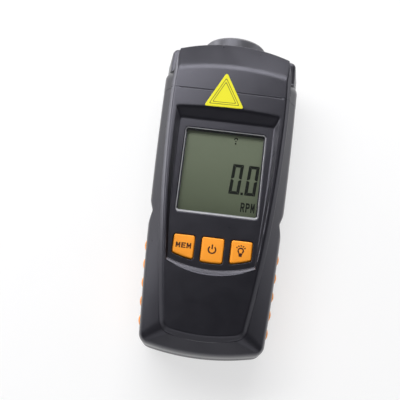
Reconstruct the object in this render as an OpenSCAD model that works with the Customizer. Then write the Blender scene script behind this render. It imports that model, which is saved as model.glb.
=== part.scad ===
// Handheld laser tachometer: a moulded housing with a raised tapered front panel, a dished
// display well with three keys, an arched head that carries the optics, and a block battery behind.
// X runs across, Y along the body towards the beam and Z up out of the display.
// The origin is the middle of the outline on the flat back.

/* [Housing] */
// Overall length, from the foot to the tip of the nose collar
body_l = 150; // [146:1:165]
// Width at the seam between head and body
body_w = 62.8; // [60:0.2:70]
// Thickness at the crown of the front
body_t = 38; // [36:0.25:42]
// Moulded wall
wall = 2; // [1.6:0.1:2.2]
// How far each side draws in between the seam and the foot
side_taper = 4.2; // [2:0.1:5]
// Radius of the bow across the foot
foot_bow_r = 110; // [80:5:200]
// Rounding of the outline's corners
corner_r = 5; // [3:0.5:7]
// Height of the upright part of the side walls above the parting plane
side_h = 8; // [6:0.5:9]
// Depth of the notch at the waist
waist_depth = 1.6; // [0.5:0.1:1.8]
// Length of the notch's steep flank, towards the head
waist_rise = 4.2; // [2:0.2:5]
// Length of the notch's slow flank, towards the foot
waist_run = 5.6; // [3:0.2:6]
// Distance of the waist notch from the foot
waist_up = 62; // [58:0.5:66]
// How far the back face is drawn in from the outline
back_inset = 3.5; // [2.5:0.25:5]

/* [Front panel] */
// Width of the raised panel at the seam
tongue_w = 50.6; // [48:0.2:54]
// How far each side of the raised panel draws in towards the foot
tongue_taper = 9.2; // [6:0.2:10]
// Gap from the foot to the end of the raised panel
tongue_gap = 8; // [6:0.5:12]
// Radius of the bow at the end of the raised panel
tongue_bow_r = 60; // [40:5:100]
// Height of the bevel around the raised panel
bevel_h = 2.1; // [1.6:0.1:2.4]
// Height of the shoulder below the crown
shoulder_drop = 2.2; // [2:0.1:3.6]
// Radius of the crown across the front
crown_r = 500; // [300:10:900]

/* [Head] */
// Length of the head from the seam to its end wall
head_l = 24.9; // [23:0.5:30]
// How far the nose collar stands out of the end wall
nose_out = 5.2; // [3:0.2:8]
// Length of the sloping facet on the head
facet_l = 12.3; // [8:0.5:14]
// Drop of the facet towards the end wall
facet_drop = 3.5; // [3:0.1:4.4]
// Radius of the crease where the facet starts
crease_r = 54; // [45:1:80]
// Radius of the front edge of the head
lip_r = 90; // [70:5:150]
// Radius of the bow across the end wall
head_bow_r = 160; // [120:10:300]
// Distance from the seam to the end of the full shoulders
cheek_l = 11.6; // [9:0.2:13]
// Clearance at the seam between head and body
seam_clear = 0.15; // [0.1:0.05:0.3]

/* [Display well] */
// Distance from the seam to the upper rim of the well
well_gap = 8.4; // [7:0.2:10]
// Depth of the well's floor below the crown
well_depth = 3.1; // [2.8:0.1:3.3]
// Width of the well's floor at its upper end
well_w = 43.7; // [42:0.1:45]
// How far each side of the floor draws in over its length
well_taper = 2.85; // [2:0.05:3.5]
// Plan width of the sloping upper wall
well_top_slope = 5.2; // [4:0.2:7]
// Plan width of the sloping side walls at their upper end
well_side_slope = 2.6; // [1.8:0.1:2.8]
// Plan width of the sloping lower wall
well_low_slope = 2.3; // [1.6:0.1:3]
// Radius of the curved lower end of the floor
smile_r = 53.3; // [45:1:70]
// Width of the display window
window_w = 36.4; // [34:0.2:37]
// Height of the display window
window_h = 39.8; // [38:0.2:40]
// Gap from the well's upper wall to the window
window_gap = 4.6; // [3:0.2:5]
// Gap from the window to the keys
key_gap = 10.8; // [10:0.2:12]
// Gap from the keys to the curved end of the floor
key_margin = 3.1; // [2.6:0.1:4]
// Length of the middle key
key_l = 11.4; // [10:0.2:12]
// Width of the middle key
key_w = 9.7; // [8:0.1:10]
// Width of each outer key
outer_key_w = 9.2; // [8:0.1:9.4]
// Gap between neighbouring keys
key_pitch_gap = 3.35; // [3:0.05:3.6]
// How far the keys stand above the floor
key_out = 1.1; // [0.8:0.1:1.4]
// Travel of the keys
key_travel = 0.6; // [0.3:0.05:0.7]
// Clearance around each key
key_clear = 0.3; // [0.2:0.05:0.4]

/* [Optics] */
// Radius of the nose collar
collar_r = 15; // [13.6:0.1:15.2]
// Bore of the nose collar
collar_bore_r = 13.2; // [12.2:0.1:13.4]
// Radius of the laser module
laser_r = 4.6; // [3.5:0.1:4.8]
// Radius of the receiving lens
lens_r = 5.2; // [4:0.1:5.4]

/* [Battery] */
// Width of the block battery
battery_w = 26.5; // [25.5:0.1:27]
// Length of the block battery without its terminals
battery_l = 46.4; // [45:0.1:47]
// Room between the roof of the battery bay and the board
bay_gap = 1; // [0.6:0.1:1.6]
// Thickness of the sliding door
door_t = 1.8; // [1.4:0.1:1.8]
// Clearance around the door
door_clear = 0.3; // [0.2:0.05:0.4]

/* [Side grips] */
// Length of each grip
grip_l = 43; // [38:1:46]
// Gap from the foot to the grip
grip_gap = 9.5; // [8:0.5:14]
// Number of ribs on each grip
rib_count = 5; // [3:1:6]
// How far the ribs stand out of the side wall
rib_out = 1.4; // [0.8:0.1:2]

/* [Hidden] */
$fa = 4;
$fs = 0.6;

// Stations along the body
tip_y = body_l / 2;
foot_y = -body_l / 2;
head_y = tip_y - nose_out;
seam_y = head_y - head_l;
cheek_y = seam_y + cheek_l;
crease_y = head_y - facet_l;
waist_y = foot_y + waist_up;
tongue_end_y = foot_y + tongue_gap;
well_top_y = seam_y - well_gap;
floor_top_y = well_top_y - well_top_slope;
window_top_y = floor_top_y - window_gap;
window_y = window_top_y - window_h / 2;
key_top_y = window_top_y - window_h - key_gap;
key_end_y = key_top_y - key_l;
smile_y = key_end_y - key_margin;
smile_centre_y = smile_y + smile_r;

// Levels through the thickness
split_z = body_t / 2;
shoulder_z = body_t - shoulder_drop;
shoulder_rise = 0.7;
floor_z = body_t - well_depth;
ceiling_t = 2.2;
ceiling_z = floor_z - ceiling_t;
edge_round = 3.2;
side_z = split_z + side_h;
head_flank_top_z = body_t - facet_drop - 1.1;
overlap = 1;

// Rounded edge of the back
rear_side_z = 8;
rear_edge_z = 3;
rear_low_z = 0.5;
rear_edge_inset = 1.4;
back_plate_t = 1.4;

// Widths of the head at the parting plane and on top of its flanks
head_base_half = body_w / 2 - 0.2;
head_end_half = body_w / 2 - 1.4;
tongue_draw = 2.8;
lip_set = 0.3;
flank_low_half = body_w / 2 - 3;
flank_top_half = tongue_w / 2 + 1;
head_base_l = 16.7;

// Display stack
window_t = 1.35;
window_r = 1.5;
window_lip = 0.9;
trim_t = 0.25;
trim_w = 0.8;
fit = 0.1;
lcd_depth = 4.4;
lcd_w = window_w + 5.6;
lcd_h = window_h + 5.2;
lcd_t = 2.6;
holder_wall = 1.4;
lcd_top_z = floor_z - lcd_depth;
board_t = 1.6;
board_gap = 3.9;
board_top_z = lcd_top_z - lcd_t - board_gap;
board_z = board_top_z - board_t;
zebra_w = 1.6;
board_half = 22.5;
board_low_half = 20.5;
board_top_y = window_y + lcd_h / 2 + holder_wall + 6.6;
board_end_y = key_end_y - 7;

// Parts under the board
chip_w = 12;
chip_t = 1.6;
capacitor_r = 4;
capacitor_h = 9;
crystal_w = 4.6;
crystal_l = 11;
crystal_t = 3.5;
plug_w = 16;
plug_l = 5;
plug_t = 2;
plug_inset = 9;
resistor_count = 4;
resistor_w = 1.6;
resistor_t = 0.9;
part_x = 14;
part_gap = 6;

// Keys
key_r = 0.8;
flange_w = 1;
flange_t = 0.8;
flange_gap = 0.3;
switch_w = 6;
switch_h = 3.5;
plunger_h = 1.1;
plunger_r = 1.75;
stem_r = 2;
key_rest_gap = 0.25;
key_bevel = 0.5;
flange_top_z = ceiling_z - flange_gap;
plunger_top_z = board_top_z + switch_h + plunger_h;
outer_key_x = key_w / 2 + key_pitch_gap + outer_key_w / 2;
key_mid_y = key_top_y - key_l * 0.45;

// Fasteners
post_r = 3.2;
screw_r = 1.25;
screw_head_r = 2.5;
screw_head_t = 1.9;
screw_seat_z = 7;
screw_clear = 0.25;
screw_bite = 7;
boss_r = 2.6;
board_screw_r = 0.9;
board_screw_head_r = 1.9;
board_screw_head_t = 1.3;
board_screw_bite = 5;
drive_l = 3;
drive_w = 0.7;
drive_t = 1.6;
drive_scale = 0.8;
low_screw = [21.3, foot_y + 9.5];
mid_screw = [body_w / 2 - 7, seam_y - 4];
head_screw = [22.4, seam_y + 12.6];
high_board_screw = [19.8, board_top_y - 2.6];
low_board_screw = [17.4, board_end_y + 2.8];

// Battery bay
bay_clear = 0.4;
bay_wall = 1.5;
terminal_h = 2;
terminal_x = 6.35;
stud_r = 2.9;
socket_r = 4.4;
battery_edge_r = 2;
snap_t = 2.7;
snap_h = 12.6;
door_skin_z = 0.3;
door_top_z = door_skin_z + door_t;
pocket_z = door_top_z + door_clear;
battery_z = pocket_z + 0.2;
bay_half = battery_w / 2 + bay_clear;
bay_low_y = foot_y + 8;
bay_high_y = bay_low_y + battery_l + terminal_h + snap_t + 2 * bay_clear;
bay_roof_t = 0.9;
bay_roof_z = board_z - bay_gap - bay_roof_t;
battery_t = bay_roof_z - bay_clear - battery_z;
battery_y = bay_low_y + bay_clear;
snap_y = battery_y + battery_l + terminal_h;
door_half = bay_half + 3;
door_high_y = bay_high_y + bay_wall + 0.4;
door_low_y = foot_y + back_inset + 0.9;
door_tongue = 1;
door_tongue_t = 0.8;
door_slot_h = 1.35;
ridge_count = 5;
ridge_w = 14;
ridge_l = 1.1;
ridge_t = 0.5;
ridge_step = 2.4;
ridge_inset = 8;
tray_t = 1.5;
tray_half = door_half + door_tongue + door_clear + tray_t;
lead_r = 0.65;
lead_x = 3;
lead_z = split_z - 8;
lead_drop_y = bay_high_y + bay_wall + 4;
part_y = lead_drop_y + 8;

// Optics
nose_z = split_z - 1.2;
collar_tail = 12.6;
collar_flange_w = 0.7;
collar_flange_r = collar_r + collar_flange_w;
collar_flange_t = 2;
collar_flange_y = head_y - wall - collar_flange_t - 2;
collar_clear = 0.15;
flange_clear = 0.3;
nose_glass_t = 2;
nose_glass_set = 1.5;
nose_glass_rim = 0.5;
bracket_r = collar_bore_r - 0.25;
bracket_l = 13.5;
bracket_y = collar_flange_y - 13.6;
laser_x = 6;
laser_l = 21;
laser_tail = 2;
laser_wall = 1.5;
laser_lens_t = 1;
laser_y = bracket_y - 5;
receiver_x = -5.5;
lens_t = 2.4;
lens_edge_t = 1.2;
lens_seat = 3;
tunnel_r = 3.9;
diode_r = 2.8;
diode_l = 3.2;
diode_flange_r = 3.4;
diode_flange_t = 0.6;
bore_clear = 0.1;
sensor_board_t = 1.6;
sensor_board_y = bracket_y - diode_flange_t - sensor_board_t;
wire_r = 0.5;
wire_pitch = 1.4;
wire_count = 4;
saddle_t = 3;

// Side grips
grip_low_z = 8.8;
grip_top_z = split_z - 1.2;
grip_depth = 1.2;
grip_skin = 0.3;
grip_clear = 0.1;
rib_r = 3;
grip_y = foot_y + grip_gap;

// Half width of the housing at a station along it
function side_half(y) =
    body_w / 2 - side_taper * pow(max(0, seam_y - y) / (seam_y - foot_y), 2);

// Half width of the raised panel at a station along it
function tongue_half(y) =
    tongue_w / 2 - tongue_taper * pow(max(0, seam_y - y) / (seam_y - tongue_end_y), 2);

// Points up the right side and down the left side of a symmetric outline
function both_sides(right) = concat(
    right,
    [for (i = [len(right) - 1 : -1 : 0]) [-right[i][0], right[i][1]]]
);

// Stations between two places along the body
function stations(low, high, count) = [for (i = [0 : count]) low + (high - low) * i / count];

module mirrored() {
    children();
    mirror([1, 0, 0]) children();
}

module rounded(r) {
    offset(r = r) offset(delta = -r) children();
}

module bowed_end(end_y, r) {
    translate([0, end_y + r]) circle(r = r, $fn = 240);
}

module rounded_rect(size, r) {
    rounded(r) square(size, center = true);
}

// Lying cylinder along Y from a station
module along(y, z, l, r, x = 0) {
    translate([x, y, z]) rotate([-90, 0, 0]) cylinder(h = l, r = r);
}

// Outlines

module body_plan(inset = 0) {
    sides = [for (y = stations(foot_y - overlap, cheek_y, 16)) [side_half(y), y]];
    offset(delta = -inset) rounded(corner_r) intersection() {
        polygon(both_sides(sides));
        bowed_end(foot_y, foot_bow_r);
    }
}

module base_plan(inset = 0) {
    sides = [for (y = stations(foot_y - overlap, seam_y, 14)) [side_half(y), y]];
    head = [[head_base_half, seam_y + head_base_l], [head_end_half, head_y + overlap]];
    offset(delta = -inset) rounded(corner_r) intersection() {
        polygon(both_sides(concat(sides, head)));
        bowed_end(foot_y, foot_bow_r);
        bowed_end(head_y - 2 * head_bow_r, head_bow_r);
    }
}

module tongue_plan(grow = 0) {
    sides = [for (y = stations(tongue_end_y - overlap, seam_y, 14)) [tongue_half(y), y]];
    offset(delta = grow) rounded(corner_r - overlap) intersection() {
        polygon(both_sides(concat(sides, [
            [tongue_w / 2 - 0.5, crease_y],
            [tongue_w / 2 - tongue_draw, head_y],
            [tongue_w / 2 - 2 * tongue_draw, head_y + facet_l]
        ])));
        union() {
            bowed_end(tongue_end_y, tongue_bow_r);
            translate([-body_w, tongue_end_y + tongue_bow_r / 2]) square([2 * body_w, body_l]);
        }
    }
}

// Outline of the display well: at its floor with no spread, at its rim with a full spread
module well_plan(spread) {
    top_y = floor_top_y + well_top_slope * spread;
    end_y = smile_y - well_low_slope * spread;
    half = well_w / 2 + well_side_slope * spread;
    taper = well_taper + (well_side_slope - 0.2) * spread;
    sides = [
        for (y = stations(end_y - overlap, top_y, 12))
            [half - taper * pow((top_y - y) / (top_y - end_y), 2), y]
    ];
    rounded(1) intersection() {
        polygon(both_sides(sides));
        bowed_end(end_y, smile_r - 6 * spread);
    }
}

module key_plan(centre_x, width, grow = 0) {
    offset(delta = grow) rounded(key_r) intersection() {
        translate([centre_x - width / 2, key_end_y - overlap]) square([width, key_l + overlap]);
        translate([0, smile_centre_y]) circle(r = smile_r - key_margin, $fn = 240);
    }
}

// Solid forms of the housing

module slice(z, t = 0.02) {
    translate([0, 0, z]) linear_extrude(t) children();
}

// Side walls and shoulders of the front
module shoulder_form(inset = 0) {
    hull() {
        slice(split_z, side_h) body_plan(inset);
        slice(side_z + edge_round) body_plan(inset + 1.2);
        slice(shoulder_z + shoulder_rise) intersection() {
            tongue_plan(bevel_h - overlap - inset);
            body_plan(inset + 2 * overlap);
        }
    }
}

// Hollow under the shoulders, up to the ceiling
module shoulder_hollow() {
    translate([0, 0, ceiling_z - shoulder_z - shoulder_rise]) shoulder_form(wall);
}

// Everything above the sloping facet, ahead of the crease
module facet_cut() {
    facet_rate = facet_l / facet_drop;
    facet_base = facet_drop + 4;
    difference() {
        translate([-body_w, crease_y - crease_r / 2, body_t - facet_base])
            cube([2 * body_w, crease_r, 2 * facet_base]);
        translate([0, crease_y - crease_r, body_t - facet_base - overlap])
            cylinder(
                h = facet_base + 2 * overlap,
                r1 = crease_r + facet_rate * (facet_base + overlap),
                r2 = crease_r - facet_rate * overlap,
                $fn = 240
            );
    }
}

// Raised panel with bevelled sides and a crown across it
module tongue_form() {
    step = 0.4;
    root = 6;
    intersection() {
        hull() {
            slice(shoulder_z - root, root - step) tongue_plan(bevel_h + step);
            slice(body_t + step) tongue_plan(bevel_h - shoulder_drop - step);
        }
        translate([0, 0, body_t - crown_r])
            rotate([-90, 0, 0])
                cylinder(h = 3 * body_l, r = crown_r, center = true, $fn = 360);
        translate([0, head_y - lip_set - lip_r, 0]) cylinder(h = 2 * body_t, r = lip_r, $fn = 240);
    }
}

// Head with flanks that slope in from the parting plane
module head_form(inset = 0) {
    hull() {
        slice(split_z) intersection() {
            base_plan(inset);
            translate([-body_w, seam_y - overlap]) square([2 * body_w, 2 * head_l]);
        }
        slice(head_flank_top_z) offset(delta = -inset) rounded(2) intersection() {
            polygon(both_sides([
                [flank_low_half, seam_y - overlap - inset],
                [flank_top_half, head_y + overlap]
            ]));
            bowed_end(head_y - 2 * head_bow_r, head_bow_r);
        }
    }
}

module rear_form(inset = 0, lift = 0) {
    hull() {
        slice(rear_side_z, split_z - rear_side_z) base_plan(inset);
        slice(rear_edge_z + lift / 2) base_plan(inset + rear_edge_inset);
        slice(rear_low_z + lift) base_plan(inset + back_inset - 0.3);
    }
}

module waist_cut() {
    mirrored()
        translate([side_half(waist_y), waist_y, -overlap])
            linear_extrude(body_t + 2 * overlap)
                rounded(0.4) polygon([
                    [-waist_depth, -0.5], [-waist_depth, 0.4],
                    [waist_depth, 0.4 + 2 * waist_rise], [waist_depth, -0.5 - 2 * waist_run]
                ]);
}

// Everything nearer to the foot than a station along the body
module behind(y) {
    translate([-body_w, y - 2 * body_l, -body_t]) cube([2 * body_w, 2 * body_l, 4 * body_t]);
}

// What lies on the head's side of the seam
module from_seam() {
    intersection() {
        children();
        translate([-body_w, seam_y + seam_clear, -body_t]) cube([2 * body_w, 2 * body_l, 4 * body_t]);
    }
}

// Room for the nose collar and its flange
module nose_hole() {
    tail_y = tip_y - collar_tail - flange_clear;
    along(tail_y, nose_z, body_l, collar_r + collar_clear);
    along(
        collar_flange_y - flange_clear, nose_z,
        collar_flange_t + 2 * flange_clear, collar_flange_r + flange_clear
    );
}

module screw_places(places) {
    for (p = places) mirrored() translate([p[0], p[1], 0]) children();
}

// Shells

module front_shell() color("#35353b") {
    difference() {
        union() {
            intersection() {
                shoulder_form();
                behind(seam_y);
            }
            intersection() {
                tongue_form();
                behind(seam_y);
            }
        }
        hull() {
            slice(floor_z) well_plan(0);
            slice(body_t + overlap) well_plan(1 + overlap / well_depth);
        }
        difference() {
            intersection() {
                shoulder_hollow();
                behind(seam_y + overlap);
            }
            screw_places([low_screw, mid_screw])
                translate([0, 0, split_z + 0.2]) cylinder(h = body_t, r = post_r);
            screw_places([high_board_screw, low_board_screw])
                translate([0, 0, board_top_z]) cylinder(h = body_t, r = boss_r);
        }
        translate([0, window_y, floor_z - window_t - trim_t - fit]) linear_extrude(body_t)
            rounded_rect([window_w + 2 * fit, window_h + 2 * fit], window_r + fit);
        translate([0, window_y, ceiling_z - overlap]) linear_extrude(body_t)
            rounded_rect([window_w - 2 * window_lip, window_h - 2 * window_lip], 1);
        translate([0, 0, ceiling_z - overlap]) linear_extrude(body_t) {
            key_plan(0, key_w, key_clear);
            mirrored() key_plan(outer_key_x, outer_key_w, key_clear);
        }
        screw_places([low_screw, mid_screw])
            translate([0, 0, split_z]) cylinder(h = screw_bite + 1, r = screw_r);
        screw_places([high_board_screw, low_board_screw])
            translate([0, 0, board_z]) cylinder(h = board_t + board_screw_bite + 0.5, r = board_screw_r);
        waist_cut();
    }
}

module head_cap() color("#5f5f67") {
    difference() {
        union() {
            from_seam() shoulder_form();
            difference() {
                from_seam() tongue_form();
                facet_cut();
            }
            from_seam() head_form();
        }
        difference() {
            union() {
                intersection() {
                    shoulder_hollow();
                    behind(cheek_y - wall);
                }
                translate([0, 0, -wall]) head_form(wall);
            }
            screw_places([head_screw])
                translate([0, 0, split_z + 0.2]) cylinder(h = body_t, r = post_r);
        }
        nose_hole();
        screw_places([head_screw])
            translate([0, 0, split_z]) cylinder(h = screw_bite + 1, r = screw_r);
    }
}

module rear_shell() color("#2c2c31") {
    screws = [low_screw, mid_screw, head_screw];
    difference() {
        union() {
            difference() {
                union() {
                    rear_form();
                    linear_extrude(back_plate_t) base_plan(back_inset);
                }
                translate([0, 0, 0.02]) rear_form(wall, wall - 0.5);
            }
            intersection() {
                rear_form();
                union() {
                    screw_places(screws) translate([0, 0, 1]) cylinder(h = body_t, r = post_r + 0.4);
                    translate([-bracket_r - wall, bracket_y + 2, 1])
                        cube([2 * (bracket_r + wall), saddle_t, split_z - 1 - fit]);
                    translate([-tray_half, foot_y, 1])
                        cube([2 * tray_half, door_high_y + tray_t - foot_y, pocket_z + tray_t - 1]);
                }
            }
            translate([-bay_half - bay_wall, bay_low_y - bay_wall, 1])
                cube([
                    2 * (bay_half + bay_wall),
                    bay_high_y - bay_low_y + 2 * bay_wall,
                    bay_roof_z + bay_roof_t - 1
                ]);
        }
        translate([-bay_half, bay_low_y, -overlap])
            cube([2 * bay_half, bay_high_y - bay_low_y, bay_roof_z + overlap]);
        translate([-door_half - door_clear, foot_y - overlap, -overlap])
            cube([
                2 * (door_half + door_clear),
                door_high_y + door_clear - foot_y + overlap,
                pocket_z + overlap
            ]);
        translate([-door_half - door_tongue - door_clear, foot_y - overlap, pocket_z - door_slot_h])
            cube([2 * (door_half + door_tongue + door_clear), door_high_y - foot_y, door_slot_h]);
        screw_places(screws) {
            translate([0, 0, -overlap]) cylinder(h = body_t, r = screw_r + screw_clear);
            translate([0, 0, -overlap])
                cylinder(h = screw_seat_z + overlap, r = screw_head_r + screw_clear);
        }
        mirrored()
            along(bay_high_y - overlap, lead_z, 4 * bay_wall, lead_r + 0.25, lead_x);
        along(bracket_y, nose_z, 2 * saddle_t + 2, bracket_r + fit);
        nose_hole();
        grip_seat(grip_depth, 0, 0);
        waist_cut();
    }
}

// A strip along both flanks, used for the grips and their seats
module grip_seat(depth, skin, shrink) {
    intersection() {
        translate([0, 0, grip_low_z + shrink])
            linear_extrude(grip_top_z - grip_low_z - 2 * shrink)
                difference() {
                    base_plan(-skin - (skin > 0 ? 0 : overlap));
                    base_plan(depth - shrink);
                }
        translate([-body_w, grip_y + shrink, 0]) cube([2 * body_w, grip_l - 2 * shrink, body_t]);
    }
}

module side_grip(side) color("#ef9a2c") {
    rib_step = grip_l / rib_count;
    intersection() {
        union() {
            grip_seat(grip_depth, grip_skin, grip_clear);
            for (i = [0 : rib_count - 1]) {
                rib_y = grip_y + rib_step * (i + 0.5);
                translate([side * (side_half(rib_y) + rib_out - rib_r), rib_y, grip_low_z + 0.6])
                    cylinder(h = grip_top_z - grip_low_z - 1.2, r = rib_r);
            }
        }
        translate([side > 0 ? 0 : -2 * body_w, -body_l, 0]) cube([2 * body_w, 2 * body_l, body_t]);
        translate([0, 0, -overlap]) linear_extrude(body_t) difference() {
            base_plan(-rib_out - overlap);
            base_plan(grip_depth - grip_clear);
        }
    }
}

module side_grip_left() side_grip(-1);

module side_grip_right() side_grip(1);

// Display and keys

module display_window() color("#b9c4b4", 0.35)
    translate([0, window_y, floor_z - trim_t - window_t])
        linear_extrude(window_t) rounded_rect([window_w, window_h], window_r);

module display_trim() color("#c9ccd0")
    translate([0, window_y, floor_z - trim_t]) linear_extrude(trim_t) difference() {
        rounded_rect([window_w, window_h], window_r);
        rounded_rect([window_w - 2 * trim_w, window_h - 2 * trim_w], 0.9);
    }

module lcd_glass() color("#66715c")
    translate([-lcd_w / 2, window_y - lcd_h / 2, lcd_top_z - lcd_t]) cube([lcd_w, lcd_h, lcd_t]);

module lcd_holder() color("#1d1d20") {
    outer_w = lcd_w + 2 * holder_wall;
    outer_h = lcd_h + 2 * holder_wall;
    translate([0, window_y, 0]) difference() {
        translate([0, 0, board_top_z]) linear_extrude(ceiling_z - fit - board_top_z)
            rounded_rect([outer_w, outer_h], 1.2);
        translate([0, 0, board_top_z - overlap]) linear_extrude(lcd_top_z + fit - board_top_z + overlap)
            square([lcd_w + 2 * fit, lcd_h + 2 * fit], center = true);
        linear_extrude(body_t) square([window_w - window_lip, window_h - window_lip], center = true);
    }
}

module backlight_panel() color("#e8ead8") {
    panel_h = lcd_h - 4 * zebra_w;
    translate([-lcd_w / 2, window_y - panel_h / 2, board_top_z]) cube([lcd_w, panel_h, board_gap]);
}

module zebra_strips() color("#3a3a3a")
    for (end = [-1, 1])
        translate([-lcd_w / 2 + 2, window_y + end * (lcd_h / 2 - zebra_w) - zebra_w / 2, board_top_z])
            cube([lcd_w - 4, zebra_w, board_gap]);

module main_board() color("#1f6b3a") {
    difference() {
        translate([0, 0, board_z]) linear_extrude(board_t) rounded(1.5) polygon(both_sides([
            [board_low_half, board_end_y],
            [board_low_half, key_top_y + 2],
            [board_half, key_top_y + 8],
            [board_half, board_top_y]
        ]));
        screw_places([high_board_screw, low_board_screw])
            cylinder(h = body_t, r = board_screw_r + 0.3);
    }
}

// Controller, capacitor, crystal and connector under the board
module board_components() color("#2b2b2e") {
    translate([-chip_w / 2, part_y + part_gap, board_z - chip_t]) cube([chip_w, chip_w, chip_t]);
    translate([part_x, part_y + part_gap, board_z - capacitor_h]) cylinder(h = capacitor_h, r = capacitor_r);
    translate([-part_x - crystal_w / 2, part_y + part_gap, board_z - crystal_t])
        cube([crystal_w, crystal_l, crystal_t]);
    translate([-plug_w / 2, board_top_y - plug_inset, board_z - plug_t]) cube([plug_w, plug_l, plug_t]);
    for (i = [0 : resistor_count - 1])
        translate([-part_x - resistor_w + 2 * resistor_w * i, part_y, board_z - resistor_t])
            cube([resistor_w, 2 * resistor_w, resistor_t]);
}

module key_switches() color("#b8babd")
    for (x = [-outer_key_x, 0, outer_key_x]) translate([x, key_mid_y, board_top_z]) {
        translate([-switch_w / 2, -switch_w / 2, 0]) cube([switch_w, switch_w, switch_h]);
        cylinder(h = switch_h + plunger_h, r = plunger_r);
    }

module key_cap(x, width) color("#fba52f") {
    stem_z = plunger_top_z + key_travel + key_rest_gap;
    cap_z = floor_z + key_out;
    hull() {
        slice(flange_top_z, cap_z - key_bevel - flange_top_z) key_plan(x, width);
        slice(cap_z - 0.02) key_plan(x, width, -key_bevel);
    }
    slice(flange_top_z - flange_t, flange_t + 0.1) key_plan(x, width, flange_w);
    translate([x, key_mid_y, stem_z]) cylinder(h = flange_top_z - stem_z, r = stem_r);
}

module button_memory() key_cap(-outer_key_x, outer_key_w);

module button_power() key_cap(0, key_w);

module button_light() key_cap(outer_key_x, outer_key_w);

// Optics

module nose_collar() color("#4a4a50") {
    tail_y = tip_y - collar_tail;
    translate([0, tail_y, nose_z]) rotate([-90, 0, 0]) rotate_extrude() polygon([
        [collar_bore_r, 0],
        [collar_r - 0.4, 0],
        [collar_r - 0.4, collar_flange_y - tail_y],
        [collar_flange_r, collar_flange_y - tail_y],
        [collar_flange_r, collar_flange_y + collar_flange_t - tail_y],
        [collar_r, collar_flange_y + collar_flange_t - tail_y],
        [collar_r, collar_tail - 1],
        [collar_r - 0.8, collar_tail],
        [collar_bore_r + nose_glass_rim + fit, collar_tail],
        [collar_bore_r + nose_glass_rim + fit, collar_tail - nose_glass_set - nose_glass_t],
        [collar_bore_r, collar_tail - nose_glass_set - nose_glass_t]
    ]);
}

module nose_glass() color("#5a2230", 0.5)
    along(tip_y - nose_glass_set - nose_glass_t, nose_z, nose_glass_t, collar_bore_r + nose_glass_rim);

module optics_bracket() color("#232326") {
    difference() {
        along(bracket_y, nose_z, bracket_l, bracket_r);
        along(bracket_y - overlap, nose_z, bracket_l + 2 * overlap, laser_r + bore_clear, laser_x);
        along(bracket_y - overlap, nose_z, diode_l + overlap, diode_r + bore_clear, receiver_x);
        along(bracket_y + diode_l - fit, nose_z, bracket_l, tunnel_r, receiver_x);
        along(bracket_y + bracket_l - lens_seat, nose_z, lens_seat + overlap, lens_r + bore_clear, receiver_x);
    }
}

module laser_module() color("#b08d4a") {
    along(laser_y, nose_z, laser_l, laser_r, laser_x);
    along(laser_y - laser_tail, nose_z, laser_tail + fit, laser_r - laser_wall, laser_x);
}

module laser_lens() color("#d8e4ea", 0.5)
    along(laser_y + laser_l, nose_z, laser_lens_t, laser_r - laser_wall, laser_x);

// Disc with one domed face
module receiving_lens() color("#d8e4ea", 0.5) {
    dome_h = lens_t - lens_edge_t;
    dome_r = (lens_r * lens_r + dome_h * dome_h) / (2 * dome_h);
    translate([receiver_x, bracket_y + bracket_l - lens_seat, nose_z]) rotate([-90, 0, 0]) intersection() {
        cylinder(h = lens_t + overlap, r = lens_r);
        translate([0, 0, lens_t - dome_r]) sphere(r = dome_r, $fn = 96);
    }
}

module photodiode() color("#c4c6c9") {
    along(bracket_y - diode_flange_t, nose_z, diode_flange_t, diode_flange_r, receiver_x);
    along(bracket_y - diode_flange_t, nose_z, diode_l, diode_r, receiver_x);
}

module sensor_board() color("#1f6b3a") difference() {
    along(sensor_board_y, nose_z, sensor_board_t, bracket_r);
    along(sensor_board_y - overlap, nose_z, sensor_board_t + 2 * overlap, laser_r + bore_clear, laser_x);
}

module sensor_leads() color("#8a2f2f")
    for (i = [0 : wire_count - 1])
        along(
            board_top_y, board_z + board_t / 2, sensor_board_y - board_top_y, wire_r,
            receiver_x - wire_pitch * (wire_count / 2 - i)
        );

// Power

module battery() color("#3c3f45") {
    translate([0, battery_y, battery_z + battery_t / 2]) rotate([-90, 0, 0]) {
        linear_extrude(battery_l) rounded_rect([battery_w, battery_t], battery_edge_r);
        translate([terminal_x, 0, 0]) cylinder(h = battery_l + terminal_h, r = stud_r);
        translate([-terminal_x, 0, 0]) cylinder(h = battery_l + terminal_h, r = socket_r);
    }
}

module battery_snap() color("#1c1c1e")
    translate([-battery_w / 2 + 0.6, snap_y, battery_z + battery_t / 2 - snap_h / 2])
        cube([battery_w - 1.2, snap_t, snap_h]);

module battery_leads() color("#b3312c")
    mirrored() {
        along(snap_y + snap_t, lead_z, lead_drop_y - snap_y - snap_t, lead_r, lead_x);
        translate([lead_x, lead_drop_y, lead_z]) sphere(r = lead_r);
        translate([lead_x, lead_drop_y, lead_z]) cylinder(h = board_z - lead_z, r = lead_r);
    }

// Sliding plate with tongues along its edges and finger ridges
module battery_door() color("#2c2c31") {
    door_l = door_high_y - door_low_y;
    translate([-door_half, door_low_y, door_skin_z]) cube([2 * door_half, door_l, door_t]);
    translate([-door_half - door_tongue, door_low_y + 2, door_top_z - door_tongue_t])
        cube([2 * (door_half + door_tongue), door_l - 6, door_tongue_t]);
    for (i = [0 : ridge_count - 1])
        translate([-ridge_w / 2, door_high_y - ridge_inset - ridge_step * i, door_skin_z - ridge_t / 2])
            cube([ridge_w, ridge_l, ridge_t]);
}

// Fasteners

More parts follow.
